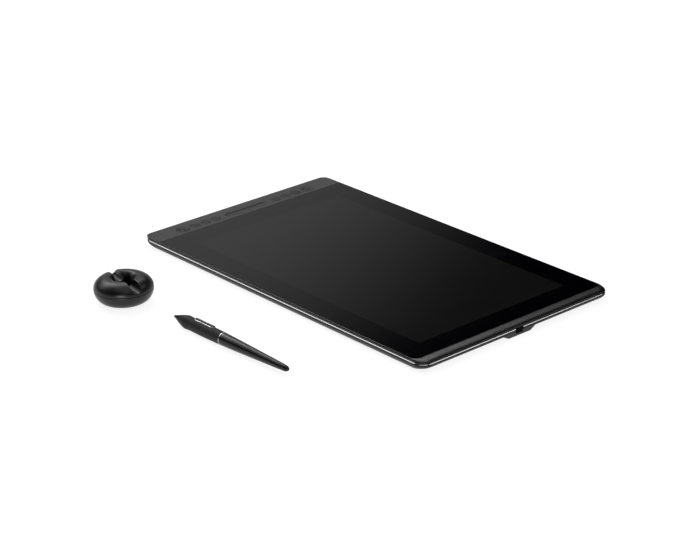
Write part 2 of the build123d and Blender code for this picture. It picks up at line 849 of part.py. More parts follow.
# Ribbon cable from the display cell, round the edge of its tray, to the main board
display_cable_x = cell_x_max + frame_opening_gap / 2
display_cable_level = cell_bottom + cell_thickness / 3
with BuildPart() as display_cable:
    with BuildSketch(Plane.XZ.offset(-display_cable_y - display_cable_width / 2)):
        with BuildLine():
            Polyline(
                (cell_x_max, display_cable_level),
                (display_cable_x, display_cable_level),
                (display_cable_x, connector_mid_level),
                (display_connector_x + connector_length / 2, connector_mid_level),
            )
        trace(line_width=cable_thickness)
    extrude(amount=display_cable_width)

display_cable.part.label = "display_cable"
export_step(display_cable.part, "parts/display_cable.step")

# Port socket: its shell and the contact tongue inside
socket_plane = Plane(origin=(socket_face_x, 0, socket_center_z), x_dir=(0, 1, 0), z_dir=(1, 0, 0))
with BuildPart() as socket_shell:
    with BuildSketch(socket_plane):
        SlotOverall(socket_width, socket_height)
    extrude(amount=-socket_depth)
    with BuildSketch(socket_plane):
        SlotOverall(socket_width - 2 * socket_wall, socket_height - 2 * socket_wall)
    extrude(amount=-(socket_depth - 2 * socket_wall), mode=Mode.SUBTRACT)

socket_shell.part.label = "socket_shell"
export_step(socket_shell.part, "parts/socket_shell.step")

with BuildPart() as socket_tongue:
    with BuildSketch(socket_plane.offset(-(socket_depth - 2 * socket_wall))):
        Rectangle(tongue_width, tongue_thickness)
    extrude(amount=tongue_length)

socket_tongue.part.label = "socket_tongue"
export_step(socket_tongue.part, "parts/socket_tongue.step")

# Pen: its own frame runs from the tip along its axis, with its up as the side sketch's y
pen_direction = (cos(radians(pen_yaw)), sin(radians(pen_yaw)), 0)
pen_up = (
    -sin(radians(pen_yaw)) * sin(radians(pen_roll)),
    cos(radians(pen_yaw)) * sin(radians(pen_roll)),
    cos(radians(pen_roll)),
)
pen_side = Plane(
    origin=(pen_tip_x, pen_tip_y, pen_radius),
    x_dir=pen_direction,
    z_dir=(
        sin(radians(pen_yaw)) * cos(radians(pen_roll)),
        -cos(radians(pen_yaw)) * cos(radians(pen_roll)),
        sin(radians(pen_roll)),
    ),
)
pen_top = Plane(origin=(pen_tip_x, pen_tip_y, pen_radius), x_dir=pen_direction, z_dir=pen_up)
pen_axis = Axis((pen_tip_x, pen_tip_y, pen_radius), pen_direction)
grip_start = grip_profile_shares[0][0] * pen_length
grip_end = grip_profile_shares[-1][0] * pen_length
barrel_start = barrel_profile_shares[0][0] * pen_length
barrel_end = barrel_profile_shares[-1][0] * pen_length
tail_radius = barrel_profile_shares[-1][1] * pen_radius
neck_end = grip_start + pen_neck_length
coil_start = neck_end
force_sensor_start = nib_length + nib_travel + nib_stop_gap
pen_board_start = force_sensor_start + force_sensor_length
core_end = core_end_share * pen_length
rocker_mid = rocker_start + rocker_length / 2


def along_pen(profile_shares):
    """Turn a profile's shares into points: distance from the tip and radius."""
    return [(share * pen_length, radius * pen_radius) for share, radius in profile_shares]


with BuildPart() as pen_nib:
    with BuildSketch(pen_side):
        with BuildLine():
            Polyline(
                (nib_tip_radius, nib_tip_radius),
                (2 * nib_radius, nib_radius),
                (nib_length, nib_radius),
                (nib_length, 0),
                (0, 0),
            )
            ThreePointArc(
                (0, 0),
                (nib_tip_radius * (1 - sqrt(1 / 2)), nib_tip_radius * sqrt(1 / 2)),
                (nib_tip_radius, nib_tip_radius),
            )
        make_face()
    revolve(axis=pen_axis)

pen_nib.part.label = "pen_nib"
export_step(pen_nib.part, "parts/pen_nib.step")

# Nose cone, with a neck that plugs into the grip
with BuildPart() as pen_nose:
    nose_points = along_pen(nose_profile_shares)
    nib_bore_radius = nib_radius + nib_gap
    with BuildSketch(pen_side):
        with BuildLine():
            Spline(*nose_points)
            Polyline(
                nose_points[-1],
                (grip_start, pen_neck_bore_radius - pen_fit),
                (neck_end, pen_neck_bore_radius - pen_fit),
                (neck_end, nib_bore_radius),
                (nose_points[0][0], nib_bore_radius),
                nose_points[0],
            )
        make_face()
    revolve(axis=pen_axis)

pen_nose.part.label = "pen_nose"
export_step(pen_nose.part, "parts/pen_nose.step")

# Grip, with the slot for the rocker's bezel in its top
with BuildPart() as pen_grip:
    grip_points = along_pen(grip_profile_shares)
    with BuildSketch(pen_side):
        with BuildLine():
            Spline(*grip_points)
            Polyline(
                grip_points[-1],
                (grip_end, pen_bore_radius),
                (neck_end, pen_bore_radius),
                (neck_end, pen_neck_bore_radius),
                (grip_start, pen_neck_bore_radius),
                grip_points[0],
            )
        make_face()
    revolve(axis=pen_axis)
    with BuildSketch(pen_top):
        with Locations((rocker_mid, 0)):
            SlotOverall(
                rocker_length + 2 * bezel_width + 2 * pen_fit,
                rocker_width + 2 * bezel_width + 2 * pen_fit,
            )
    extrude(amount=2 * pen_radius, mode=Mode.SUBTRACT)

pen_grip.part.label = "pen_grip"
export_step(pen_grip.part, "parts/pen_grip.step")

# Bezel round the rocker, following the grip's round top
with BuildPart() as pen_rocker_bezel:
    with BuildSketch(pen_side):
        with BuildLine():
            bezel_points = [(x, radius + bezel_stand) for x, radius in grip_points[4:]]
            Spline(*bezel_points)
            Polyline(
                bezel_points[-1],
                (bezel_points[-1][0], bezel_bottom_radius),
                (bezel_points[0][0], bezel_bottom_radius),
                bezel_points[0],
            )
        make_face()
    revolve(axis=pen_axis)
    with BuildSketch(pen_top):
        with Locations((rocker_mid, 0)):
            SlotOverall(rocker_length + 2 * bezel_width, rocker_width + 2 * bezel_width)
            SlotOverall(rocker_length, rocker_width, mode=Mode.SUBTRACT)
    extrude(amount=2 * pen_radius, mode=Mode.INTERSECT)
    with BuildSketch(pen_side):
        with Locations((rocker_mid, pivot_level)):
            Circle(pivot_radius + pivot_fit)
    extrude(amount=pen_radius, both=True, mode=Mode.SUBTRACT)

pen_rocker_bezel.part.label = "pen_rocker_bezel"
export_step(pen_rocker_bezel.part, "parts/pen_rocker_bezel.step")

# Rocker, with a pusher under each end and a pivot pin across its middle
rocker_top_radius = pen_radius + rocker_stand
with BuildPart() as pen_rocker:
    with BuildSketch(pen_side):
        with Locations((rocker_mid, (rocker_top_radius + rocker_bottom_radius) / 2)):
            Rectangle(rocker_length, rocker_top_radius - rocker_bottom_radius)
    revolve(axis=pen_axis)
    with BuildSketch(pen_top):
        with Locations((rocker_mid, 0)):
            SlotOverall(rocker_length - 2 * rocker_gap, rocker_width - 2 * rocker_gap)
    extrude(amount=2 * pen_radius, mode=Mode.INTERSECT)
    rocker_top = pen_rocker.faces().sort_by(Axis(pen_top.origin, pen_up))[-1]
    fillet(rocker_top.edges(), rocker_edge)
    pusher_bottom = pen_switch_height + pen_plunger_height + pusher_gap
    pusher_bottom += pen_board_thickness - pen_board_drop
    with BuildSketch(pen_top.offset(pusher_bottom)):
        with Locations((rocker_mid - pusher_spread, 0), (rocker_mid + pusher_spread, 0)):
            Circle(pusher_radius)
    extrude(amount=(rocker_bottom_radius + rocker_top_radius) / 2 - pusher_bottom)
    with BuildSketch(pen_side):
        with Locations((rocker_mid, pivot_level)):
            Circle(pivot_radius)
    extrude(amount=pivot_reach, both=True)

pen_rocker.part.label = "pen_rocker"
export_step(pen_rocker.part, "parts/pen_rocker.step")

# Bright ring between the grip and the barrel
with BuildPart() as pen_ring:
    ring_radius = pen_ring_radius_share * pen_radius
    with BuildSketch(pen_side):
        with Locations(((grip_end + barrel_start) / 2, (ring_radius + pen_bore_radius) / 2)):
            Rectangle(barrel_start - grip_end, ring_radius - pen_bore_radius)
    revolve(axis=pen_axis)

pen_ring.part.label = "pen_ring"
export_step(pen_ring.part, "parts/pen_ring.step")

# Rear barrel, hollow in three steps
with BuildPart() as pen_barrel:
    barrel_points = along_pen(barrel_profile_shares)
    with BuildSketch(pen_side):
        with BuildLine():
            Spline(*barrel_points)
            Polyline(
                barrel_points[-1],
                (barrel_end, 0),
                (barrel_end_bore_share * pen_length, 0),
                (barrel_end_bore_share * pen_length, barrel_end_bore_radius),
                (barrel_mid_bore_share * pen_length, barrel_end_bore_radius),
                (barrel_mid_bore_share * pen_length, barrel_mid_bore_radius),
                (barrel_bore_share * pen_length, barrel_mid_bore_radius),
                (barrel_bore_share * pen_length, pen_bore_radius),
                (barrel_start, pen_bore_radius),
                barrel_points[0],
            )
        make_face()
    revolve(axis=pen_axis)

pen_barrel.part.label = "pen_barrel"
export_step(pen_barrel.part, "parts/pen_barrel.step")

# Rounded tail
with BuildPart() as pen_tail:
    with BuildSketch(pen_side):
        with BuildLine():
            EllipticalCenterArc((barrel_end, 0), pen_length - barrel_end, tail_radius, 0)
            Polyline((barrel_end, tail_radius), (barrel_end, 0), (pen_length, 0))
        make_face()
    revolve(axis=pen_axis)

pen_tail.part.label = "pen_tail"
export_step(pen_tail.part, "parts/pen_tail.step")

# Core tube inside the grip and barrel, open at the top under the rocker
with BuildPart() as pen_core:
    with BuildSketch(pen_side):
        with Locations(((coil_start + core_end) / 2, (core_radius + core_bore_radius) / 2)):
            Rectangle(core_end - coil_start, core_wall)
    revolve(axis=pen_axis)
    with BuildSketch(pen_top.offset(core_window_floor)):
        with Locations((rocker_mid, 0)):
            Rectangle(rocker_length, 2 * (pen_board_width / 2 + core_window_gap))
    extrude(amount=core_radius, mode=Mode.SUBTRACT)

pen_core.part.label = "pen_core"
export_step(pen_core.part, "parts/pen_core.step")

# Coil round the nib, and the force sensor behind it
coil_radius = core_bore_radius - pen_fit
with BuildPart() as pen_coil:
    with BuildSketch(pen_side):
        with Locations((coil_start + coil_length / 2, (coil_radius + nib_bore_radius) / 2)):
            Rectangle(coil_length, coil_radius - nib_bore_radius)
    revolve(axis=pen_axis)

pen_coil.part.label = "pen_coil"
export_step(pen_coil.part, "parts/pen_coil.step")

with BuildPart() as pen_force_sensor:
    with BuildSketch(pen_side):
        with Locations((force_sensor_start + force_sensor_length / 2, coil_radius / 2)):
            Rectangle(force_sensor_length, coil_radius)
    revolve(axis=pen_axis)

pen_force_sensor.part.label = "pen_force_sensor"
export_step(pen_force_sensor.part, "parts/pen_force_sensor.step")

# Pen board and its two switches
with BuildPart() as pen_board:
    with BuildSketch(pen_top.offset(-pen_board_drop)):
        with Locations((pen_board_start + pen_board_length / 2, 0)):
            Rectangle(pen_board_length, pen_board_width)
    extrude(amount=pen_board_thickness)

pen_board.part.label = "pen_board"
export_step(pen_board.part, "parts/pen_board.step")

with BuildPart() as pen_switches:
    switch_level = pen_board_thickness - pen_board_drop
    with BuildSketch(pen_top.offset(switch_level)):
        with Locations((rocker_mid - pusher_spread, 0), (rocker_mid + pusher_spread, 0)):
            Rectangle(pen_switch_length, pen_switch_width)
    extrude(amount=pen_switch_height)
    with BuildSketch(pen_top.offset(switch_level + pen_switch_height)):
        with Locations((rocker_mid - pusher_spread, 0), (rocker_mid + pusher_spread, 0)):
            Circle(pen_plunger_radius)
    extrude(amount=pen_plunger_height)

pen_switches.part.label = "pen_switches"
export_step(pen_switches.part, "parts/pen_switches.step")

# Pen stand: side sketches run out from its axis
stand_side = Plane(origin=(stand_x, stand_y, 0), x_dir=(1, 0, 0), z_dir=(0, -1, 0))
stand_axis = Axis((stand_x, stand_y, 0), (0, 0, 1))
stand_top = Plane(origin=(stand_x, stand_y, 0), x_dir=(1, 0, 0), z_dir=(0, 0, 1))
crown_width = stand_radius - stand_crown_radius
funnel_width = stand_crown_radius - well_radius
well_mouth_level = stand_height - funnel_height
saddle_floor_level = stand_height - saddle_depth
cap_cavity_top = saddle_floor_level - saddle_wall
base_cavity_radius = stand_radius - stand_wall
cap_bottom = stand_seam_level + seam_gap / 2
crown_height = stand_height - cap_bottom
base_top = stand_seam_level - seam_gap / 2
spigot_radius = base_cavity_radius - spigot_gap
spigot_inner_radius = spigot_radius - spigot_wall
spigot_bottom = cap_bottom - spigot_depth
nib_tray_radius = base_cavity_radius - nib_tray_edge_gap
ballast_radius = nib_tray_radius - ballast_setback
hub_hole_radius = well_radius + well_wall + ballast_gap
well_outer_radius = well_radius + well_wall
well_bottom = well_floor_level - well_floor_thickness

# Cap: a round crown that dips into the pen well, with a deep saddle across it for a pen laid down
with BuildPart() as stand_cap:
    with BuildSketch(stand_side):
        with BuildLine():
            EllipticalCenterArc((stand_crown_radius, cap_bottom), crown_width, crown_height, 0)
            EllipticalCenterArc(
                (stand_crown_radius, well_mouth_level), funnel_width, funnel_height, 90
            )
            Polyline(
                (well_radius, well_mouth_level),
                (well_radius, well_floor_level),
                (0, well_floor_level),
                (0, well_bottom),
                (well_outer_radius, well_bottom),
                (well_outer_radius, cap_cavity_top),
                (spigot_inner_radius, cap_cavity_top),
                (spigot_inner_radius, spigot_bottom),
                (spigot_radius, spigot_bottom),
                (spigot_radius, cap_bottom),
                (stand_radius, cap_bottom),
            )
        make_face()
    revolve(axis=stand_axis)
    saddle_plane = Plane(
        origin=(stand_x, stand_y, saddle_floor_level + saddle_radius),
        x_dir=(-sin(radians(saddle_yaw)), cos(radians(saddle_yaw)), 0),
        z_dir=(cos(radians(saddle_yaw)), sin(radians(saddle_yaw)), 0),
    )
    with BuildSketch(saddle_plane):
        Circle(saddle_radius)
        Rectangle(2 * saddle_radius, stand_height, align=(Align.CENTER, Align.MIN))
    extrude(amount=stand_radius, both=True, mode=Mode.SUBTRACT)

stand_cap.part.label = "stand_cap"
export_step(stand_cap.part, "parts/stand_cap.step")

# Base: a bowl that holds the ballast, the nib tray and the cap's spigot
with BuildPart() as stand_base:
    cavity_depth = base_top - base_floor_level
    cavity_points = [
        (share * base_cavity_radius, base_floor_level + height_share * cavity_depth)
        for share, height_share in base_cavity_shares
    ]
    with BuildSketch(stand_side):
        with BuildLine():
            EllipticalCenterArc(
                (stand_base_radius, base_top),
                stand_radius - stand_base_radius,
                base_top - stand_foot_height,
                -90,
            )
            Polyline(
                (stand_radius, base_top),
                (base_cavity_radius, base_top),
                *reversed(cavity_points),
                (0, base_floor_level),
                (0, stand_foot_height),
                (stand_base_radius, stand_foot_height),
            )
        make_face()
    revolve(axis=stand_axis)

stand_base.part.label = "stand_base"
export_step(stand_base.part, "parts/stand_base.step")

with BuildPart() as stand_foot:
    with BuildSketch(stand_top):
        Circle(stand_base_radius - stand_foot_setback)
        Circle(stand_foot_inner_radius, mode=Mode.SUBTRACT)
    extrude(amount=stand_foot_height)

stand_foot.part.label = "stand_foot"
export_step(stand_foot.part, "parts/stand_foot.step")

# Steel ballast ring on the base's floor
with BuildPart() as stand_ballast:
    with BuildSketch(stand_top.offset(base_floor_level)):
        Circle(ballast_radius)
        Circle(hub_hole_radius, mode=Mode.SUBTRACT)
    extrude(amount=ballast_height)

stand_ballast.part.label = "stand_ballast"
export_step(stand_ballast.part, "parts/stand_ballast.step")

# Tray with the spare nibs standing in it and, between two of them, the ring that pulls a worn one
tray_level = base_floor_level + ballast_height
spare_nib_ring_radius = nib_tray_radius - spare_nib_edge
spare_nib_level = tray_level + nib_tray_floor
tray_top = tray_level + nib_tray_height
with BuildPart() as nib_tray:
    with BuildSketch(stand_top.offset(tray_level)):
        Circle(nib_tray_radius)
        Circle(hub_hole_radius, mode=Mode.SUBTRACT)
    extrude(amount=nib_tray_height)
    with BuildSketch(stand_top.offset(tray_top)):
        with PolarLocations(spare_nib_ring_radius, spare_nib_count):
            Circle(nib_radius + spare_nib_gap)
    extrude(amount=-(nib_tray_height - nib_tray_floor), mode=Mode.SUBTRACT)

nib_tray.part.label = "nib_tray"
export_step(nib_tray.part, "parts/nib_tray.step")

with BuildPart() as spare_nibs:
    with BuildSketch(stand_top.offset(spare_nib_level)):
        with PolarLocations(spare_nib_ring_radius, spare_nib_count):
            Circle(nib_radius)
    extrude(amount=cap_cavity_top - spare_nib_head_gap - spare_nib_level)
    fillet(spare_nibs.faces().group_by(Axis.Z)[-1].edges(), nib_tip_radius)

spare_nibs.part.label = "spare_nibs"
export_step(spare_nibs.part, "parts/spare_nibs.step")

with BuildPart() as nib_puller:
    with BuildSketch(stand_top.offset(tray_top)):
        with PolarLocations(spare_nib_ring_radius, 1, start_angle=180 / spare_nib_count):
            Circle(puller_outer_radius)
            Circle(puller_outer_radius - puller_wall, mode=Mode.SUBTRACT)
    extrude(amount=puller_height)

nib_puller.part.label = "nib_puller"
export_step(nib_puller.part, "parts/nib_puller.step")
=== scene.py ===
import json
import logging
import math
from dataclasses import dataclass
from enum import Enum
from typing import Callable, ClassVar, Optional, Sequence

import bmesh
import bpy
from mathutils import Matrix, Vector


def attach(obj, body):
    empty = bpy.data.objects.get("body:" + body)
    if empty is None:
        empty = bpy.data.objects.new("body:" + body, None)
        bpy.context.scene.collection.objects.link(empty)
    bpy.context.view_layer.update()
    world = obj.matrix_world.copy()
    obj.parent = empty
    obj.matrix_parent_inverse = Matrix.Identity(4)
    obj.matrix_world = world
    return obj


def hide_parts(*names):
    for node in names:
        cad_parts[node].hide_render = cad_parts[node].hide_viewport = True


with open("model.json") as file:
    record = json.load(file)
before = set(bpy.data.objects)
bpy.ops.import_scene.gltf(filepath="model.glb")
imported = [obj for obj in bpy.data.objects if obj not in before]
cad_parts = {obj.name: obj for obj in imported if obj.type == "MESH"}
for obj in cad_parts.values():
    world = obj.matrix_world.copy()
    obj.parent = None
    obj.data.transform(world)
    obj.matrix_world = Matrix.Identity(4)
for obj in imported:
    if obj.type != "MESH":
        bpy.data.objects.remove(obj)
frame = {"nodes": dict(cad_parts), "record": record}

log = logging.getLogger("pen_display")

Colour = tuple[float, float, float]
Point = tuple[float, float]
Ring = list[Vector]

MM = 0.001
JOIN_WITHIN = 0.002 * MM
FLAT = 0.9999


def grey(level: float) -> Colour:
    """Give a neutral colour of a linear level."""
    return (level, level, level)


class Mark(Enum):
    """The effects that several finishes share, each one a shader node group."""

    GRAIN = "moulded grain"
    WEAR = "edge wear"
    DUST = "settled dust"
    SMUDGE = "finger smudges"
    AREA = "soft edged area"


class Tree:
    """A node tree that is filled one node at a time."""

    def __init__(self, tree: bpy.types.NodeTree) -> None:
        """Start on an existing tree.

        Args:
            tree: The material's, world's or group's node tree.
        """
        self.tree = tree

    def add(self, kind: str, inputs: Optional[dict] = None, **settings: object) -> bpy.types.Node:
        """Add a node, set its properties and feed its inputs.

        Args:
            kind: The node's type name.
            inputs: Input names or numbers, each with a value or another node's output.
            **settings: Properties of the node.

        Returns:
            The new node.
        """
        node = self.tree.nodes.new(kind)
        for name, value in settings.items():
            setattr(node, name, value)
        for name, value in (inputs or {}).items():
            if isinstance(value, bpy.types.NodeSocket):
                self.tree.links.new(value, node.inputs[name])
            else:
                node.inputs[name].default_value = value
        return node

    def math(self, operation: str, a: object, b: object = 0.0) -> bpy.types.NodeSocket:
        """Combine two numbers, each a value or an output, and give the result."""
        return self.add("ShaderNodeMath", {0: a, 1: b}, operation=operation).outputs[0]

    def ramp(self, value: object, low: float, high: float, start: float = 0.0,
             end: float = 1.0) -> bpy.types.NodeSocket:
        """Map a number smoothly from one range to another.

        Args:
            value: The number, as an output of another node.
            low: The value that gives start.
            high: The value that gives end.
            start: The result at low.
            end: The result at high.

        Returns:
            The mapped number's socket.
        """
        places = {"Value": value, "From Min": low, "From Max": high, "To Min": start, "To Max": end}
        return self.add("ShaderNodeMapRange", places, interpolation_type="SMOOTHSTEP").outputs[0]

    def blend(self, factor: object, a: object, b: object) -> bpy.types.NodeSocket:
        """Mix two colours by a factor.

        Args:
            factor: How much of the second one, as a value or an output.
            a: The first colour, as a value or an output.
            b: The second colour, as a value or an output.

        Returns:
            The mixed colour's socket.
        """
        node = self.add("ShaderNodeMix", data_type="RGBA")
        for index, value in ((0, factor), (6, a), (7, b)):
            if isinstance(value, bpy.types.NodeSocket):
                self.tree.links.new(value, node.inputs[index])
            else:
                node.inputs[index].default_value = value if index == 0 else (*value, 1.0)
        return node.outputs[2]

    def place(self) -> bpy.types.NodeSocket:
        """Give the place on the object, in metres, in the object's own axes."""
        return self.add("ShaderNodeTexCoord").outputs["Object"]


class Marks:
    """The shared node groups, each built once, the first time that a finish asks for it."""

    # Inputs and outputs of each group.
    SOCKETS: dict[Mark, tuple[tuple[str, ...], tuple[str, ...]]] = {
        Mark.GRAIN: (("Size", "Mottle Size"), ("Height", "Mottle")),
        Mark.WEAR: (("Radius", "Amount"), ("Mask",)),
        Mark.DUST: (("Amount",), ("Mask",)),
        Mark.SMUDGE: (("Size", "Amount"), ("Mask",)),
        Mark.AREA: (("Middle X", "Middle Y", "Half X", "Half Y", "Softness"), ("Mask",)),
    }

    # How fine each pattern is, in features per metre.
    WORN_PATCHES = 140.0
    DUST_DRIFTS = 22.0
    DUST_SPECKS = 420.0
    SPECK_SWARMS = 90.0
    WIPED_STREAKS = 900.0

    # Where each pattern's own values start to count, and where they count in full.
    MOTTLE_RANGE = (0.3, 0.7)
    PATCH_RANGE = (0.38, 0.66)
    FILM_RANGE = (0.4, 0.75)
    SPECK_RANGE = (0.1, 0.04)
    SWARM_RANGE = (0.56, 0.64)
    WIPE_RANGE = (0.5, 0.68)
    STREAK_RANGE = (0.3, 0.6)

    # The same for the cosine between two normals: an edge's turn, and how far a face looks up.
    EDGE_TURN = (0.985, 0.9)
    DUSTY_SLOPE = (0.35, 0.9)

    CELL_SHARE = 0.6
    FILM_MOST = 0.5
    STREAK_LEAST = 0.5

    def __init__(self) -> None:
        """Start with no group built."""
        self.built: dict[Mark, bpy.types.NodeTree] = {}
        self.makers: dict[Mark, Callable[[Tree, bpy.types.Node], dict[str, object]]] = {
            Mark.GRAIN: self.grain,
            Mark.WEAR: self.wear,
            Mark.DUST: self.dust,
            Mark.SMUDGE: self.smudge,
            Mark.AREA: self.area,
        }

    def use(self, tree: Tree, mark: Mark, inputs: dict[str, float]) -> bpy.types.Node:
        """Place a shared effect in a material.

        Args:
            tree: The material's tree.
            mark: Which effect.
            inputs: Its values in this material.

        Returns:
            The group node.
        """
        if mark not in self.built:
            self.built[mark] = self.build(mark)
        node = tree.add("ShaderNodeGroup", node_tree=self.built[mark])
        for name, value in inputs.items():
            node.inputs[name].default_value = value
        return node

    def build(self, mark: Mark) -> bpy.types.NodeTree:
        """Build one group with its named inputs and outputs.

        Args:
            mark: Which effect.

        Returns:
            The finished group.
        """
        group = bpy.data.node_groups.new(mark.value, "ShaderNodeTree")
        ins, outs = self.SOCKETS[mark]
        for name in ins:
            group.interface.new_socket(name, in_out="INPUT", socket_type="NodeSocketFloat")
        for name in outs:
            group.interface.new_socket(name, in_out="OUTPUT", socket_type="NodeSocketFloat")
        tree = Tree(group)
        given = tree.add("NodeGroupInput")
        results = self.makers[mark](tree, given)
        tree.add("NodeGroupOutput", results)
        return group

    def grain(self, tree: Tree, given: bpy.types.Node) -> dict[str, object]:
        """Fine spark-eroded mould grain, with a slow mottle for colour and gloss.

        Args:
            tree: The group's tree.
            given: The group's input node.

        Returns:
            The height of the grain and the mottle.
        """
        place = tree.place()
        fine = tree.math("DIVIDE", 1.0, given.outputs["Size"])
        cells = tree.add("ShaderNodeTexVoronoi", {"Vector": place, "Scale": fine},
                         feature="SMOOTH_F1")
        noise = tree.add("ShaderNodeTexNoise", {"Vector": place, "Scale": fine, "Detail": 3.0})
        height = tree.add("ShaderNodeMath", {0: cells.outputs["Distance"], 1: self.CELL_SHARE,
                                             2: noise.outputs["Fac"]}, operation="MULTIPLY_ADD")
        slow = tree.math("DIVIDE", 1.0, given.outputs["Mottle Size"])
        mottle = tree.add("ShaderNodeTexNoise", {"Vector": place, "Scale": slow, "Detail": 4.0,
                                                 "Roughness": 0.6})
        return {"Height": height.outputs[0],
                "Mottle": tree.ramp(mottle.outputs["Fac"], *self.MOTTLE_RANGE)}

    def wear(self, tree: Tree, given: bpy.types.Node) -> dict[str, object]:
        """Edges rubbed by handling: where a rounded normal leaves the face's own, in patches.

        Args:
            tree: The group's tree.
            given: The group's input node.

        Returns:
            The mask of the rubbed places.
        """
        rounded = tree.add("ShaderNodeBevel", {"Radius": given.outputs["Radius"]}, samples=4)
        face = tree.add("ShaderNodeNewGeometry")
        along = tree.add("ShaderNodeVectorMath", {0: rounded.outputs[0], 1: face.outputs["Normal"]},
                         operation="DOT_PRODUCT").outputs["Value"]
        edge = tree.ramp(along, *self.EDGE_TURN)
        patch = tree.add("ShaderNodeTexNoise", {"Vector": tree.place(), "Detail": 6.0,
                                                "Scale": self.WORN_PATCHES})
        patchy = tree.ramp(patch.outputs["Fac"], *self.PATCH_RANGE)
        worn = tree.math("MULTIPLY", tree.math("MULTIPLY", edge, patchy), given.outputs["Amount"])
        return {"Mask": worn}

    def dust(self, tree: Tree, given: bpy.types.Node) -> dict[str, object]:
        """Dust on faces that look up, thicker in drifts, with a few specks.

        Args:
            tree: The group's tree.
            given: The group's input node.

        Returns:
            The mask of the dust.
        """
        face = tree.add("ShaderNodeNewGeometry")
        up = tree.add("ShaderNodeSeparateXYZ", {0: face.outputs["Normal"]}).outputs["Z"]
        place = tree.place()
        drift = tree.add("ShaderNodeTexNoise", {"Vector": place, "Scale": self.DUST_DRIFTS,
                                                "Detail": 5.0})
        specks = tree.add("ShaderNodeTexVoronoi", {"Vector": place, "Scale": self.DUST_SPECKS})
        speck = tree.ramp(specks.outputs["Distance"], *self.SPECK_RANGE)
        swarms = tree.add("ShaderNodeTexNoise", {"Vector": place, "Scale": self.SPECK_SWARMS})
        rare = tree.ramp(swarms.outputs["Fac"], *self.SWARM_RANGE)
        film = tree.ramp(drift.outputs["Fac"], *self.FILM_RANGE, 0.0, self.FILM_MOST)
        both = tree.math("MAXIMUM", film, tree.math("MULTIPLY", speck, rare))
        facing = tree.math("MULTIPLY", tree.ramp(up, *self.DUSTY_SLOPE), both)
        return {"Mask": tree.math("MULTIPLY", facing, given.outputs["Amount"])}

    def smudge(self, tree: Tree, given: bpy.types.Node) -> dict[str, object]:
        """Faint wiped marks left by fingers and sleeves.

        Args:
            tree: The group's tree.
            given: The group's input node.

        Returns:
            The mask of the marks.
        """
        place = tree.place()
        size = tree.math("DIVIDE", 1.0, given.outputs["Size"])
        drag = tree.add("ShaderNodeTexNoise", {"Vector": place, "Scale": size, "Detail": 2.0,
                                               "Distortion": 1.5})
        fine = tree.add("ShaderNodeTexNoise", {"Vector": place, "Scale": self.WIPED_STREAKS,
                                               "Detail": 2.0})
        wiped = tree.ramp(drag.outputs["Fac"], *self.WIPE_RANGE)
        streaks = tree.ramp(fine.outputs["Fac"], *self.STREAK_RANGE, self.STREAK_LEAST, 1.0)
        broken = tree.math("MULTIPLY", wiped, streaks)
        return {"Mask": tree.math("MULTIPLY", broken, given.outputs["Amount"])}

    def area(self, tree: Tree, given: bpy.types.Node) -> dict[str, object]:
        """A rectangle seen through the surface, one inside it and nought outside.

        Args:
            tree: The group's tree.
            given: The group's input node.

        Returns:
            The mask of the rectangle.
        """
        axes = tree.add("ShaderNodeSeparateXYZ", {0: tree.place()})
        sides = []
        for axis in ("X", "Y"):
            reach = tree.math("ABSOLUTE", tree.math("SUBTRACT", axes.outputs[axis],
                                                    given.outputs["Middle " + axis]))
            room = tree.math("SUBTRACT", given.outputs["Half " + axis], reach)
            share = tree.math("DIVIDE", room, given.outputs["Softness"])
            sides.append(tree.add("ShaderNodeClamp", {"Value": share}).outputs[0])
        return {"Mask": tree.math("MULTIPLY", *sides)}


MARKS = Marks()


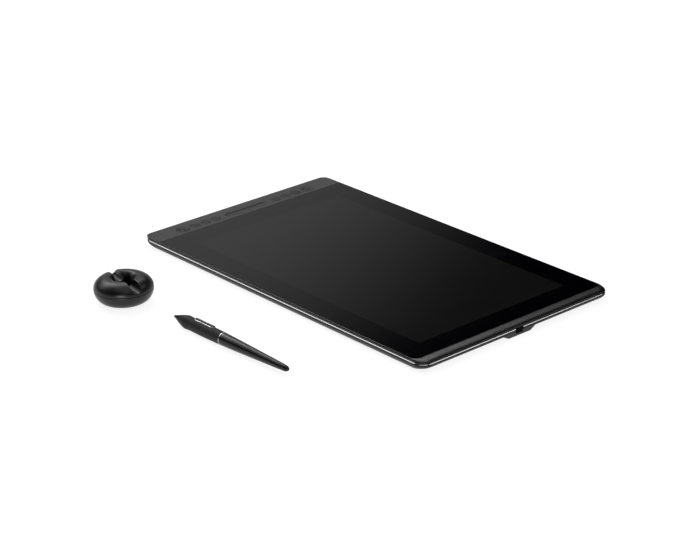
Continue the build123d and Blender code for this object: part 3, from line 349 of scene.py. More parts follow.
@dataclass(frozen=True)
class Finish:
    """A moulded, coated, printed or metal surface with grain, worn edges, dust and smudges.

    Sizes and depths are in metres, colours are linear.
    """

    DUST_COLOUR: ClassVar[Colour] = (0.32, 0.31, 0.29)
    DUST_ROUGHNESS: ClassVar[float] = 0.3

    colour: Colour
    roughness: float = 0.5
    metallic: float = 0.0
    specular: float = 0.5
    mottled: Colour = grey(0.0)
    mottle_size: float = 0.02
    grain_size: float = 0.0004
    grain_depth: float = 0.00001
    roughness_spread: float = 0.06
    worn: Colour = grey(0.3)
    wear: float = 0.25
    wear_radius: float = 0.0003
    dust: float = 0.1
    smudge: float = 0.0
    smudge_size: float = 0.03

    def colours(self, tree: Tree) -> bpy.types.NodeSocket:
        """Give the surface's own colour, before wear and dust.

        Args:
            tree: The material's tree.

        Returns:
            The colour's socket.
        """
        return tree.blend(self.mottle(tree), self.colour, self.mottled)

    def mottle(self, tree: Tree) -> bpy.types.NodeSocket:
        """Give the slow variation of this surface, from nought to one."""
        return self.grained(tree).outputs["Mottle"]

    def grained(self, tree: Tree) -> bpy.types.Node:
        """Place this surface's grain group."""
        return MARKS.use(tree, Mark.GRAIN, {"Size": self.grain_size,
                                            "Mottle Size": self.mottle_size})

    def height(self, tree: Tree) -> bpy.types.NodeSocket:
        """Give the height that the bump follows."""
        return self.grained(tree).outputs["Height"]

    def make(self, name: str) -> bpy.types.Material:
        """Build the material.

        Args:
            name: Its name.

        Returns:
            The material.
        """
        material = bpy.data.materials.new(name)
        material.use_nodes = True
        tree = Tree(material.node_tree)
        shader = material.node_tree.nodes["Principled BSDF"]
        wear = MARKS.use(tree, Mark.WEAR, {"Radius": self.wear_radius,
                                           "Amount": self.wear}).outputs[0]
        dust = MARKS.use(tree, Mark.DUST, {"Amount": self.dust}).outputs[0]
        colour = tree.blend(wear, self.colours(tree), self.worn)
        colour = tree.blend(dust, colour, self.DUST_COLOUR)
        rough = tree.math("MULTIPLY", self.mottle(tree), self.roughness_spread)
        rough = tree.math("ADD", rough, self.roughness - self.roughness_spread / 2)
        rough = tree.math("ADD", rough, tree.math("MULTIPLY", dust, self.DUST_ROUGHNESS))
        if self.smudge:
            smudge = MARKS.use(tree, Mark.SMUDGE, {"Size": self.smudge_size, "Amount": self.smudge})
            rough = tree.math("ADD", rough, smudge.outputs[0])
        bump = tree.add("ShaderNodeBump", {"Strength": 1.0, "Distance": self.grain_depth,
                                           "Height": self.height(tree)})
        links = material.node_tree.links
        links.new(colour, shader.inputs["Base Color"])
        links.new(rough, shader.inputs["Roughness"])
        links.new(bump.outputs[0], shader.inputs["Normal"])
        shader.inputs["Metallic"].default_value = self.metallic
        shader.inputs["Specular IOR Level"].default_value = self.specular
        return material


@dataclass(frozen=True)
class ScreenFinish(Finish):
    """Etched cover glass over a display that is off: the lit area shows a little paler."""

    lit: Colour = grey(0.02)
    middle_x: float = 0.0
    half_x: float = 0.17
    half_y: float = 0.1
    softness: float = 0.0003

    def colours(self, tree: Tree) -> bpy.types.NodeSocket:
        """Give the border's ink and the dark display behind the glass.

        Args:
            tree: The material's tree.

        Returns:
            The colour's socket.
        """
        area = MARKS.use(tree, Mark.AREA, {"Middle X": self.middle_x, "Middle Y": 0.0,
                                           "Half X": self.half_x, "Half Y": self.half_y,
                                           "Softness": self.softness})
        return tree.blend(area.outputs[0], super().colours(tree), self.lit)


@dataclass(frozen=True)
class CutEdgeFinish(Finish):
    """Dark anodised metal with a bright line cut along the upper part of its chamfer.

    The two leans say how far up a face looks where the bare metal starts, and where it ends.
    """

    bright: Colour = (0.8, 0.8, 0.81)
    bright_from: float = 0.00785
    lean_start: Point = (0.4, 0.5)
    lean_end: Point = (0.95, 0.9)

    def colours(self, tree: Tree) -> bpy.types.NodeSocket:
        """Give the dark coat, and bare metal where the face leans and is high enough.

        Args:
            tree: The material's tree.

        Returns:
            The colour's socket.
        """
        face = tree.add("ShaderNodeNewGeometry")
        up = tree.add("ShaderNodeSeparateXYZ", {0: face.outputs["Normal"]}).outputs["Z"]
        leaning = tree.math("MULTIPLY", tree.ramp(up, *self.lean_start),
                            tree.ramp(up, *self.lean_end))
        level = tree.add("ShaderNodeSeparateXYZ", {0: tree.place()}).outputs["Z"]
        high = tree.math("GREATER_THAN", level, self.bright_from)
        return tree.blend(tree.math("MULTIPLY", leaning, high), super().colours(tree), self.bright)


@dataclass(frozen=True)
class BoardFinish(Finish):
    """Solder mask over copper tracks that run in short straight steps.

    A step's length and a track's width are told in pitches.
    """

    track: Colour = (0.02, 0.12, 0.05)
    track_pitch: float = 0.0012
    track_step: float = 14.0
    track_width: float = 0.2
    track_strength: float = 0.7

    def colours(self, tree: Tree) -> bpy.types.NodeSocket:
        """Give the mask's colour, paler over the tracks.

        Args:
            tree: The material's tree.

        Returns:
            The colour's socket.
        """
        pitch = self.track_pitch
        bricks = tree.add("ShaderNodeTexBrick", {
            "Vector": tree.place(), "Scale": 1.0, "Brick Width": self.track_step * pitch,
            "Row Height": pitch, "Mortar Size": self.track_width * pitch,
            "Color1": (0, 0, 0, 1), "Color2": (0, 0, 0, 1), "Mortar": (1, 1, 1, 1)})
        return tree.blend(tree.math("MULTIPLY", bricks.outputs["Fac"], self.track_strength),
                          super().colours(tree), self.track)


@dataclass(frozen=True)
class WoundFinish(Finish):
    """Enamelled wire in turns round the pen's axis, which lies along X.

    The wave's bands repeat every tenth of pi at a scale of one, which gives its scale here.
    """

    turn_pitch: float = 0.0003 * 2 * math.pi

    def height(self, tree: Tree) -> bpy.types.NodeSocket:
        """Give the rise and fall of the turns.

        Args:
            tree: The material's tree.

        Returns:
            The height's socket.
        """
        scale = math.pi / 10 / self.turn_pitch
        waves = tree.add("ShaderNodeTexWave", {"Vector": tree.place(), "Scale": scale},
                         wave_type="BANDS", bands_direction="X")
        return waves.outputs["Fac"]


FINISHES: dict[str, Finish] = {
    "case_plastic": Finish((0.022, 0.022, 0.024), 0.48, mottled=(0.027, 0.027, 0.029),
                           grain_size=0.0005, grain_depth=0.00002, worn=grey(0.09), wear=0.3),
    "frame_satin": Finish((0.006, 0.006, 0.0065), 0.24, mottled=(0.008, 0.008, 0.0085),
                          specular=0.36, grain_size=0.0002, grain_depth=0.000001,
                          roughness_spread=0.01, worn=grey(0.06), wear=0.03, dust=0.004,
                          smudge=0.008),
    "polished_trim": CutEdgeFinish((0.03, 0.03, 0.032), 0.2, metallic=1.0,
                                   mottled=(0.036, 0.036, 0.038), grain_size=0.00015,
                                   grain_depth=0.000002, worn=grey(0.3), wear=0.02, dust=0.02),
    "foot_rubber": Finish(grey(0.018), 0.85, mottled=(0.026, 0.026, 0.025), grain_size=0.0007,
                          grain_depth=0.00004, worn=(0.06, 0.06, 0.058), wear=0.4),
    "cover_glass": ScreenFinish((0.0002, 0.0002, 0.0011), 0.07, mottled=(0.0003, 0.0003, 0.0013),
                                grain_size=0.00012, grain_depth=0.0000008, roughness_spread=0.01,
                                worn=grey(0.05), wear=0.1, dust=0.004, smudge=0.01,
                                smudge_size=0.05, lit=(0.0085, 0.0085, 0.0083), middle_x=0.0105,
                                half_x=0.17208, half_y=0.096795),
    "strip_matte": Finish(grey(0.048), 0.6, mottled=grey(0.053), specular=0.4, grain_size=0.00035,
                          grain_depth=0.000012, worn=grey(0.2), wear=0.1),
    "key_plastic": Finish(grey(0.012), 0.4, mottled=grey(0.014), specular=0.26, grain_size=0.0003,
                          grain_depth=0.000008, worn=grey(0.18), wear=0.2, smudge=0.05,
                          smudge_size=0.006),
    "bar_gloss": Finish((0.012, 0.012, 0.0125), 0.3, mottled=grey(0.014), specular=0.3,
                        grain_depth=0.000003, worn=grey(0.15), wear=0.15, smudge=0.08,
                        smudge_size=0.008),
    "ribbon_film": Finish((0.32, 0.17, 0.03), 0.35, mottled=(0.26, 0.13, 0.02),
                          grain_depth=0.000002),
    "circuit_board": BoardFinish((0.008, 0.07, 0.028), 0.4, mottled=(0.01, 0.08, 0.03),
                                 grain_depth=0.000004, wear=0.1),
    "switch_metal": Finish((0.6, 0.58, 0.54), 0.3, metallic=1.0, mottled=(0.5, 0.48, 0.44),
                           grain_depth=0.000004),
    "cell_glass": Finish((0.012, 0.012, 0.014), 0.12, mottled=(0.016, 0.016, 0.018),
                         grain_depth=0.0000005, smudge=0.05),
    "guide_acrylic": Finish((0.7, 0.71, 0.72), 0.25, mottled=(0.66, 0.67, 0.69),
                            grain_size=0.0008, grain_depth=0.000006),
    "tray_metal": Finish((0.5, 0.5, 0.51), 0.34, metallic=1.0, mottled=(0.42, 0.42, 0.43),
                         grain_depth=0.000006),
    "chip_black": Finish((0.02, 0.02, 0.021), 0.55, mottled=(0.026, 0.026, 0.027),
                         grain_size=0.0002, grain_depth=0.000008),
    "connector_ivory": Finish((0.6, 0.56, 0.46), 0.45, mottled=(0.55, 0.5, 0.4),
                              grain_depth=0.000006),
    "screw_steel": Finish((0.09, 0.09, 0.092), 0.3, metallic=1.0, mottled=grey(0.13),
                          grain_depth=0.000004, worn=grey(0.5), wear=0.5),
    "socket_steel": Finish((0.58, 0.58, 0.59), 0.24, metallic=1.0, mottled=(0.5, 0.5, 0.51),
                           grain_depth=0.000002, wear=0.4),
    "grip_rubber": Finish((0.01, 0.01, 0.0105), 0.6, mottled=grey(0.015), specular=0.3,
                          grain_size=0.00025, grain_depth=0.000015, worn=grey(0.05), wear=0.15),
    "pen_gloss": Finish((0.006, 0.006, 0.0065), 0.24, mottled=grey(0.008), specular=0.28,
                        grain_size=0.0002, grain_depth=0.0000004, roughness_spread=0.02,
                        worn=grey(0.06), wear=0.1, smudge=0.03, smudge_size=0.012),
    "nib_plastic": Finish((0.01, 0.01, 0.0105), 0.26, mottled=grey(0.013), grain_size=0.0002,
                          grain_depth=0.000003, worn=grey(0.08), wear=0.3),
    "rocker_black": Finish((0.01, 0.01, 0.0105), 0.4, mottled=grey(0.013), grain_size=0.0002,
                           grain_depth=0.000005, worn=grey(0.07), wear=0.3),
    "pen_bright": Finish((0.52, 0.52, 0.53), 0.2, metallic=1.0, mottled=(0.47, 0.47, 0.48),
                         grain_depth=0.000001, wear=0.1),
    "coil_copper": WoundFinish((0.6, 0.22, 0.09), 0.3, metallic=1.0, mottled=(0.5, 0.17, 0.07),
                               grain_depth=0.00008),
    "stand_satin": Finish((0.005, 0.005, 0.0055), 0.33, mottled=grey(0.006), specular=0.38,
                          grain_size=0.0003, grain_depth=0.000006, worn=grey(0.06), wear=0.2,
                          smudge=0.05, smudge_size=0.015),
    "ballast_iron": Finish((0.16, 0.15, 0.14), 0.55, metallic=1.0, mottled=(0.09, 0.07, 0.055),
                           mottle_size=0.004, grain_size=0.0008, grain_depth=0.00003),
}


class Paintshop:
    """Builds each finish once and puts it on CAD nodes and modelled pieces."""

    def __init__(self) -> None:
        """Start with no material built."""
        self.made: dict[str, bpy.types.Material] = {}

    def material(self, slot: str) -> bpy.types.Material:
        """Give the material of a slot, built the first time.

        Args:
            slot: The record's material slot.

        Returns:
            The material.
        """
        if slot not in self.made:
            self.made[slot] = FINISHES[slot].make(slot)
        return self.made[slot]

    def dress(self, node: str, slot: str) -> None:
        """Put a slot's material on a CAD node.

        Args:
            node: The node's name.
            slot: The record's material slot.
        """
        target = frame["nodes"][node]
        for place in target.material_slots:
            place.material = self.material(slot)
        if not target.material_slots:
            target.data.materials.append(self.material(slot))


PAINTSHOP = Paintshop()


def through(points: Sequence[Point], steps: int) -> list[Point]:
    """Draw a smooth curve through points whose first number only grows.

    Args:
        points: The points.
        steps: Pieces between one point and the next.

    Returns:
        The curve's points, ends included.
    """
    slopes = []
    for index in range(len(points)):
        before, after = points[max(index - 1, 0)], points[min(index + 1, len(points) - 1)]
        slopes.append((after[1] - before[1]) / (after[0] - before[0]))
    curve = [points[0]]
    for (x0, y0), (x1, y1), m0, m1 in zip(points, points[1:], slopes, slopes[1:]):
        room = x1 - x0
        for step in range(1, steps + 1):
            t = step / steps
            y = (y0 * (1 + 2 * t) * (1 - t) ** 2 + m0 * room * t * (1 - t) ** 2
                 + y1 * t * t * (3 - 2 * t) + m1 * room * t * t * (t - 1))
            curve.append((x0 + t * room, y))
    return curve


def sweep(middle: Point, reach: Point, start: float, end: float, steps: int) -> list[Point]:
    """Draw part of an ellipse.

    Args:
        middle: Its centre.
        reach: Its two radii.
        start: First angle in degrees.
        end: Last angle in degrees.
        steps: Pieces of the curve.

    Returns:
        The curve's points, ends included.
    """
    angles = [math.radians(start + (end - start) * step / steps) for step in range(steps + 1)]
    return [(middle[0] + reach[0] * math.cos(a), middle[1] + reach[1] * math.sin(a))
            for a in angles]


def eased(corners: Sequence[tuple[float, float, float]], steps: int = 4) -> list[Point]:
    """Draw a closed profile whose corners are rounded.

    Args:
        corners: Each corner's two coordinates and how far its rounding reaches; nought is sharp.
        steps: Pieces in each rounding.

    Returns:
        The profile's points.
    """
    profile = []
    for index, (x, y, reach) in enumerate(corners):
        here = Vector((x, y))
        if not reach:
            profile.append((x, y))
            continue
        before = Vector(corners[index - 1][:2])
        after = Vector(corners[(index + 1) % len(corners)][:2])
        start = here + (before - here).normalized() * reach
        end = here + (after - here).normalized() * reach
        for step in range(steps + 1):
            t = step / steps
            profile.append(tuple(start * (1 - t) ** 2 + here * 2 * t * (1 - t) + end * t * t))
    return profile


def slot_line(length: float, width: float, inset: float = 0.0, ends: int = 12,
              straights: int = 1) -> list[Point]:
    """Draw a slot with round ends, along its length and across.

    Args:
        length: Overall length.
        width: Overall width.
        inset: How far the line is drawn in.
        ends: Pieces in each round end.
        straights: Pieces in each straight side.

    Returns:
        The line's points, always as many for the same pieces.
    """
    reach = (length - width) / 2
    radius = max(width / 2 - inset, 0.0)
    line = []
    for side in (1, -1):
        for step in range(ends + 1):
            angle = math.radians(-90 + 180 * step / ends)
            line.append((side * (reach + radius * math.cos(angle)),
                         side * radius * math.sin(angle)))
        for step in range(1, straights):
            line.append((side * reach * (1 - 2 * step / straights), side * radius))
    return line


@dataclass(frozen=True)
class Axle:
    """A line with its own up, that turned and lengthwise shapes are built on."""

    origin: Vector
    along: Vector
    up: Vector

    @property
    def side(self) -> Vector:
        """Give the direction across, square to both others."""
        return self.up.cross(self.along)

    def at(self, distance: float, across: float, height: float) -> Vector:
        """Give the point at a distance along, across and above the line."""
        return self.origin + self.along * distance + self.side * across + self.up * height

    def ring(self, distance: float, radius: float, count: int) -> Ring:
        """Give a circle of points round the line."""
        turns = [2 * math.pi * index / count for index in range(count)]
        return [self.at(distance, radius * math.sin(t), radius * math.cos(t)) for t in turns]

    def turned(self, profile: Sequence[Point], count: int) -> list[Ring]:
        """Give the rings of a turned shape, from distances along and radii."""
        return [self.ring(distance, radius, count) for distance, radius in profile]


def upright(x: float, y: float) -> Axle:
    """Give a line that stands on the desk at a place."""
    return Axle(Vector((x, y, 0.0)), Vector((0, 0, 1)), Vector((1, 0, 0)))


@dataclass(frozen=True)
class Outline:
    """A rectangle whose left and right pairs of corners are rounded by radii of their own."""

    left: float
    right: float
    half: float
    left_radius: float
    right_radius: float

    def line(self, inset: float = 0.0, steps: int = 12) -> list[Point]:
        """Draw the outline.

        Args:
            inset: How far it is drawn in.
            steps: Pieces in each corner.

        Returns:
            The line's points, always as many for the same pieces.
        """
        line = []
        corners = ((1, 1, 0), (-1, 1, 90), (-1, -1, 180), (1, -1, 270))
        for side_x, side_y, start in corners:
            edge, radius = ((self.right, self.right_radius) if side_x > 0
                            else (self.left, self.left_radius))
            middle = (edge - side_x * radius, side_y * (self.half - radius))
            room = max(radius - inset, 0.0)
            over = min(radius - inset, 0.0)
            middle = (middle[0] + side_x * over, middle[1] + side_y * over)
            line += sweep(middle, (room, room), start, start + 90, steps)
        return line

    def ring(self, level: float, inset: float = 0.0, steps: int = 12) -> Ring:
        """Give the outline at a level."""
        return [Vector((x, y, level)) for x, y in self.line(inset, steps)]


class Form:
    """A mesh in the making, in millimetres in the CAD's own frame."""

    def __init__(self) -> None:
        """Start empty."""
        self.mesh = bmesh.new()

    def skin(self, rings: Sequence[Ring], looped: bool = False, capped: bool = False) -> None:
        """Cover a row of rings with faces.

        Args:
            rings: Rings of as many points each; points that fall together are joined.
            looped: Join the last ring to the first one.
            capped: Close both ends with a face.
        """
        rows = [[self.mesh.verts.new(point * MM) for point in ring] for ring in rings]
        following = rows[1:] + rows[:1] if looped else rows[1:]
        for low, high in zip(rows, following):
            for index in range(len(low)):
                after = (index + 1) % len(low)
                self.mesh.faces.new((low[index], low[after], high[after], high[index]))
        if capped:
            self.mesh.faces.new(rows[0])
            self.mesh.faces.new(rows[-1])

    def close(self, ring: Ring) -> None:
        """Close one end with a face over its ring."""
        self.mesh.faces.new([self.mesh.verts.new(point * MM) for point in ring])

    def take(self, mesh: bpy.types.Mesh) -> None:
        """Take in the faces of a finished mesh."""
        self.mesh.from_mesh(mesh)

    def mesh_data(self, name: str, sharp: float = 35.0) -> bpy.types.Mesh:
        """Join what falls together, set the normals and give the mesh.

        Args:
            name: The mesh's name.
            sharp: Edges that turn by more than these degrees stay crisp.

        Returns:
            The mesh.
        """
        bmesh.ops.remove_doubles(self.mesh, verts=self.mesh.verts, dist=JOIN_WITHIN)
        bmesh.ops.recalc_face_normals(self.mesh, faces=self.mesh.faces)
        data = bpy.data.meshes.new(name)
        self.mesh.to_mesh(data)
        self.mesh.free()
        smooth(data, sharp)
        return data


def smooth(data: bpy.types.Mesh, sharp: float) -> None:
    """Shade a mesh smoothly, but for edges that turn by more than some degrees.

    Args:
        data: The mesh.
        sharp: Edges that turn by more than these degrees stay crisp.
    """
    data.polygons.foreach_set("use_smooth", [True] * len(data.polygons))
    data.set_sharp_from_angle(angle=math.radians(sharp))


def evaluated(item: bpy.types.Object) -> bpy.types.Mesh:
    """Give the mesh that an object comes to, with its modifiers or its curve's thickness."""
    graph = bpy.context.evaluated_depsgraph_get()
    return bpy.data.meshes.new_from_object(item.evaluated_get(graph))


def carved(data: bpy.types.Mesh, cutter: bpy.types.Mesh, sharp: float = 35.0) -> bpy.types.Mesh:
    """Cut one closed mesh out of another.

    Args:
        data: What is cut.
        cutter: What is taken away.
        sharp: Edges that turn by more than these degrees stay crisp.

    Returns:
        The cut mesh.
    """
    body, tool = bpy.data.objects.new("body", data), bpy.data.objects.new("tool", cutter)
    for item in (body, tool):
        bpy.context.scene.collection.objects.link(item)
    cut = body.modifiers.new("cut", "BOOLEAN")
    cut.operation, cut.solver, cut.object = "DIFFERENCE", "EXACT", tool
    result = evaluated(body)
    name = data.name
    for item in (body, tool):
        bpy.data.objects.remove(item)
    for mesh in (data, cutter):
        bpy.data.meshes.remove(mesh)
    smooth(result, sharp)
    result.name = name
    return result


def plate(name: str, lines: Sequence[Sequence[Point]], low: float, high: float, edge: float,
          edge_steps: int = 2) -> bpy.types.Mesh:
    """Cut a flat plate with holes and softened edges, from curves.

    Args:
        name: The mesh's name.
        lines: The outline and the holes.
        low: Level of its underside.
        high: Level of its top.
        edge: Radius of its edges.
        edge_steps: Pieces in the edges' rounding, as the curve counts them.

    Returns:
        The mesh.
    """
    curve = bpy.data.curves.new(name, "CURVE")
    curve.dimensions, curve.fill_mode = "2D", "BOTH"
    curve.extrude = (high - low) / 2 * MM - edge * MM
    curve.bevel_depth, curve.bevel_resolution = edge * MM, edge_steps
    curve.offset = -edge * MM
    for line in lines:
        spline = curve.splines.new("POLY")
        spline.points.add(len(line) - 1)
        for point, (x, y) in zip(spline.points, line):
            point.co = (x * MM, y * MM, 0.0, 1.0)
        spline.use_cyclic_u = True
    cut = bpy.data.objects.new(name, curve)
    bpy.context.scene.collection.objects.link(cut)
    data = evaluated(cut)
    bpy.data.objects.remove(cut)
    data.transform(Matrix.Translation((0.0, 0.0, (low + high) / 2 * MM)))
    form = Form()
    form.take(data)
    bpy.data.meshes.remove(data)
    made = form.mesh_data(name)
    for face in made.polygons:
        face.use_smooth = abs(face.normal.z) < FLAT
    return made


@dataclass
class Assembly:
    """A group of modelled pieces that ride on one CAD body, unless they say otherwise."""

    body: str = "tablet"

    def build(self) -> None:
        """Make every piece; each sub-assembly says how."""
        raise NotImplementedError

    def piece(self, data: bpy.types.Mesh, slot: str, *nodes: str, body: str = "") -> None:
        """Put a finished mesh in the scene.

        Args:
            data: The mesh, whose name the piece gets.
            slot: The record's material slot for its finish.
            *nodes: CAD nodes that it stands for.
            body: The CAD body that it rides on, if not the assembly's own.
        """
        made = bpy.data.objects.new(data.name, data)
        bpy.context.scene.collection.objects.link(made)
        data.materials.clear()
        data.materials.append(PAINTSHOP.material(slot))
        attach(made, body or self.body)
        if nodes:
            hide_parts(*nodes)
        log.info("%s is made in %s and rides on %s", made.name, slot, body or self.body)


class KeyTop(Enum):
    """How the top of a key is shaped."""

    CROWNED = "crowned"
    DISHED = "dished round a dome"


@dataclass(frozen=True)
class Key:
    """One key: its place along the strip, the radius of its hole and its top."""

    y: float
    hole: float = 5.6
    top: KeyTop = KeyTop.CROWNED


@dataclass
class Face(Assembly):
    """The tablet's top: its cover glass, its key strip, the eight keys and the touch bar.

    Edge lines are pairs of a distance down from the top and a distance in from the side.
    """

    left: float = -217.55
    seam: float = -190.65
    right: float = 207.15
    half: float = 124.3
    corner: float = 8.0
    top: float = 11.5
    glass: float = 1.1
    strip: float = 1.2
    gap: float = 0.1
    edge: float = 0.15
    square: float = 0.02
    key_x: float = -201.0
    keys: tuple[Key, ...] = (Key(-85.4, 7.15, KeyTop.DISHED), Key(-69.05), Key(-55.04), Key(-41.35),
                             Key(41.35), Key(55.04), Key(69.05), Key(85.4, 7.15, KeyTop.DISHED))
    key_gap: float = 0.3
    key_flange: float = 0.8
    key_foot: float = 9.6
    flange_top: float = 10.2
    key_edge: tuple[Point, ...] = ((0.35, 0.0), (0.16, 0.04), (0.05, 0.14))
    crown_rise: float = 0.25
    crown_steps: int = 12
    crown_inset: float = 0.35
    dish: tuple[Point, ...] = ((0.0, 0.5), (0.6, 0.495), (1.3, 0.44), (2.0, 0.29), (2.6, 0.12),
                               (3.05, 0.02), (3.4, 0.0), (3.9, 0.02), (4.5, 0.12), (5.3, 0.33),
                               (5.9, 0.46))
    dish_depth: float = 0.5
    dish_inset: float = 0.4
    bar_length: float = 57.0
    bar_width: float = 7.0
    bar_flange: float = 1.5
    bar_dish: float = 1.0
    bar_dish_steps: int = 12
    bar_lip: float = 0.15
    bar_edge: tuple[Point, ...] = ((0.12, 0.0), (0.03, 0.04))
    hole_sides: int = 64
    key_sides: int = 72

    def panels(self) -> None:
        """Cut the glass and the strip, with the strip's holes."""
        glass = Outline(self.seam, self.right, self.half, self.square, self.corner)
        self.piece(plate("glass_panel", [glass.line()], self.top - self.glass, self.top, self.edge),
                   "cover_glass", "cover_glass")
        strip = Outline(self.left, self.seam - self.gap, self.half, self.corner, self.square)
        holes = [sweep((self.key_x, key.y), (key.hole, key.hole), 0, 360, self.hole_sides)[:-1]
                 for key in self.keys]
        slot = [(self.key_x + v, u) for u, v in slot_line(self.bar_length, self.bar_width, ends=24)]
        self.piece(plate("strip_panel", [strip.line(), *holes, slot], self.top - self.strip,
                         self.top, self.edge), "strip_matte", "key_strip")

    def key_profile(self, key: Key) -> list[Point]:
        """Draw a key from the middle of its underside out and up to the middle of its top.

        Args:
            key: The key.

        Returns:
            Levels and radii.
        """
        cap = key.hole - self.key_gap
        flange = cap + self.key_gap + self.key_flange
        side = [(self.key_foot, 0.0), (self.key_foot, flange), (self.flange_top, flange),
                (self.flange_top, cap), *((self.top - down, cap - inset)
                                          for down, inset in self.key_edge)]
        if key.top is KeyTop.DISHED:
            dish = [*self.dish, (cap - self.dish_inset, self.dish_depth)]
            middle = [(self.top - self.dish_depth + rise, radius)
                      for radius, rise in through(dish, 3)]
        else:
            rim = cap - self.crown_inset
            shares = [step / self.crown_steps for step in range(self.crown_steps + 1)]
            middle = [(self.top + self.crown_rise * (1 - share ** 2), rim * share)
                      for share in shares]
        return side + middle[::-1]

    def keycaps(self) -> None:
        """Turn the eight keycaps."""
        for number, key in enumerate(self.keys, start=1):
            axle = upright(self.key_x, key.y)
            form = Form()
            form.skin(axle.turned(self.key_profile(key), self.key_sides))
            self.piece(form.mesh_data(f"keycap_{number}", 40), "key_plastic", f"key_{number}",
                       body=f"key_{number}")

    def touch_bar(self) -> None:
        """Form the bar, with the hollow along its top and the flange under the strip."""
        half = self.bar_width / 2 - self.gap
        hollow = half - self.bar_lip
        arc = (hollow ** 2 + self.bar_dish ** 2) / (2 * self.bar_dish)
        length, width = self.bar_length - 2 * self.gap, 2 * half
        wide = self.bar_flange + self.gap
        sections = [(-wide, self.key_foot), (-wide, self.flange_top), (0.0, self.flange_top),
                    *((inset, self.top - down) for down, inset in self.bar_edge),
                    (self.bar_lip, self.top)]
        for step in range(1, self.bar_dish_steps + 1):
            across = hollow * (1 - step / self.bar_dish_steps)
            level = self.top - self.bar_dish + arc - math.sqrt(arc ** 2 - across ** 2)
            sections.append((half - across, level))
        rings = [[Vector((self.key_x + v, u, level))
                  for u, v in slot_line(length, width, inset, ends=20)]
                 for inset, level in sections]
        form = Form()
        form.skin(rings)
        form.close(rings[0])
        self.piece(form.mesh_data("bar_cap"), "bar_gloss", "touch_bar")

    def build(self) -> None:
        """Make the whole face."""
        self.panels()
        self.keycaps()
        self.touch_bar()


@dataclass
class Underside(Assembly):
    """What the tablet stands on, and the contacts in its port.

    The feet's edge line is pairs of a distance in from the side and a level.
    """

    foot_x: float = 139.94
    foot_y: float = 108.4
    foot_length: float = 69.8
    foot_width: float = 8.8
    middle_radius: float = 11.9
    foot_top: float = 1.6
    foot_edge: tuple[Point, ...] = ((0.0, 0.35), (0.1, 0.1), (0.35, 0.0))
    foot_sides: int = 72
    tread_start: float = 0.9
    tread_pitch: float = 0.42
    tread_lines: int = 7
    tread: float = 0.125
    socket_x: float = 215.15
    socket_z: float = 6.03
    tongue_half: float = 0.35
    contacts_a_side: int = 12
    contact_start: float = -5.6
    contact_end: float = -3.1
    contact_pitch: float = 0.5
    contact_width: float = 0.26
    contact_sunk: float = 0.02
    contact_stand: float = 0.05
    contact_edge: Point = (0.02, 0.03)

    def feet(self) -> None:
        """Mould the four long feet and the round one, with softened edges and a fine tread."""
        form = Form()
        ribs = [(self.tread_start + self.tread_pitch * index, self.tread * (index % 2))
                for index in range(self.tread_lines)]
        sections = [(0.0, self.foot_top), *self.foot_edge, *ribs]
        for side_x in (-1, 1):
            for side_y in (-1, 1):
                middle = Vector((side_x * self.foot_x, side_y * self.foot_y, 0.0))
                form.skin([[middle + Vector((u, v, level)) for u, v in
                            slot_line(self.foot_length, self.foot_width, inset)]
                           for inset, level in sections], capped=True)
        profile = [(level, self.middle_radius - inset) for inset, level in sections]
        form.skin(upright(0.0, 0.0).turned(profile, self.foot_sides), capped=True)
        self.piece(form.mesh_data("feet_moulded"), "foot_rubber", "rubber_feet")

    def contacts(self) -> None:
        """Lay a row of contacts on each face of the port's tongue."""
        form = Form()
        start, end = self.socket_x + self.contact_start, self.socket_x + self.contact_end
        half = self.contact_width / 2
        drop, bevel = self.contact_edge
        for face in (-1, 1):
            low = self.socket_z + face * (self.tongue_half - self.contact_sunk)
            high = self.socket_z + face * (self.tongue_half + self.contact_stand)
            for index in range(self.contacts_a_side):
                y = (index - (self.contacts_a_side - 1) / 2) * self.contact_pitch
                rings = []
                for level, inset in ((low, 0.0), (high - face * drop, 0.0), (high, bevel)):
                    rings.append([Vector((x, y + v, level)) for x, v in (
                        (start + inset, -half + inset), (end - inset, -half + inset),
                        (end - inset, half - inset), (start + inset, half - inset))])
                form.skin(rings, capped=True)
        self.piece(form.mesh_data("port_contacts"), "switch_metal")

    def build(self) -> None:
        """Make the feet and the contacts."""
        self.feet()
        self.contacts()


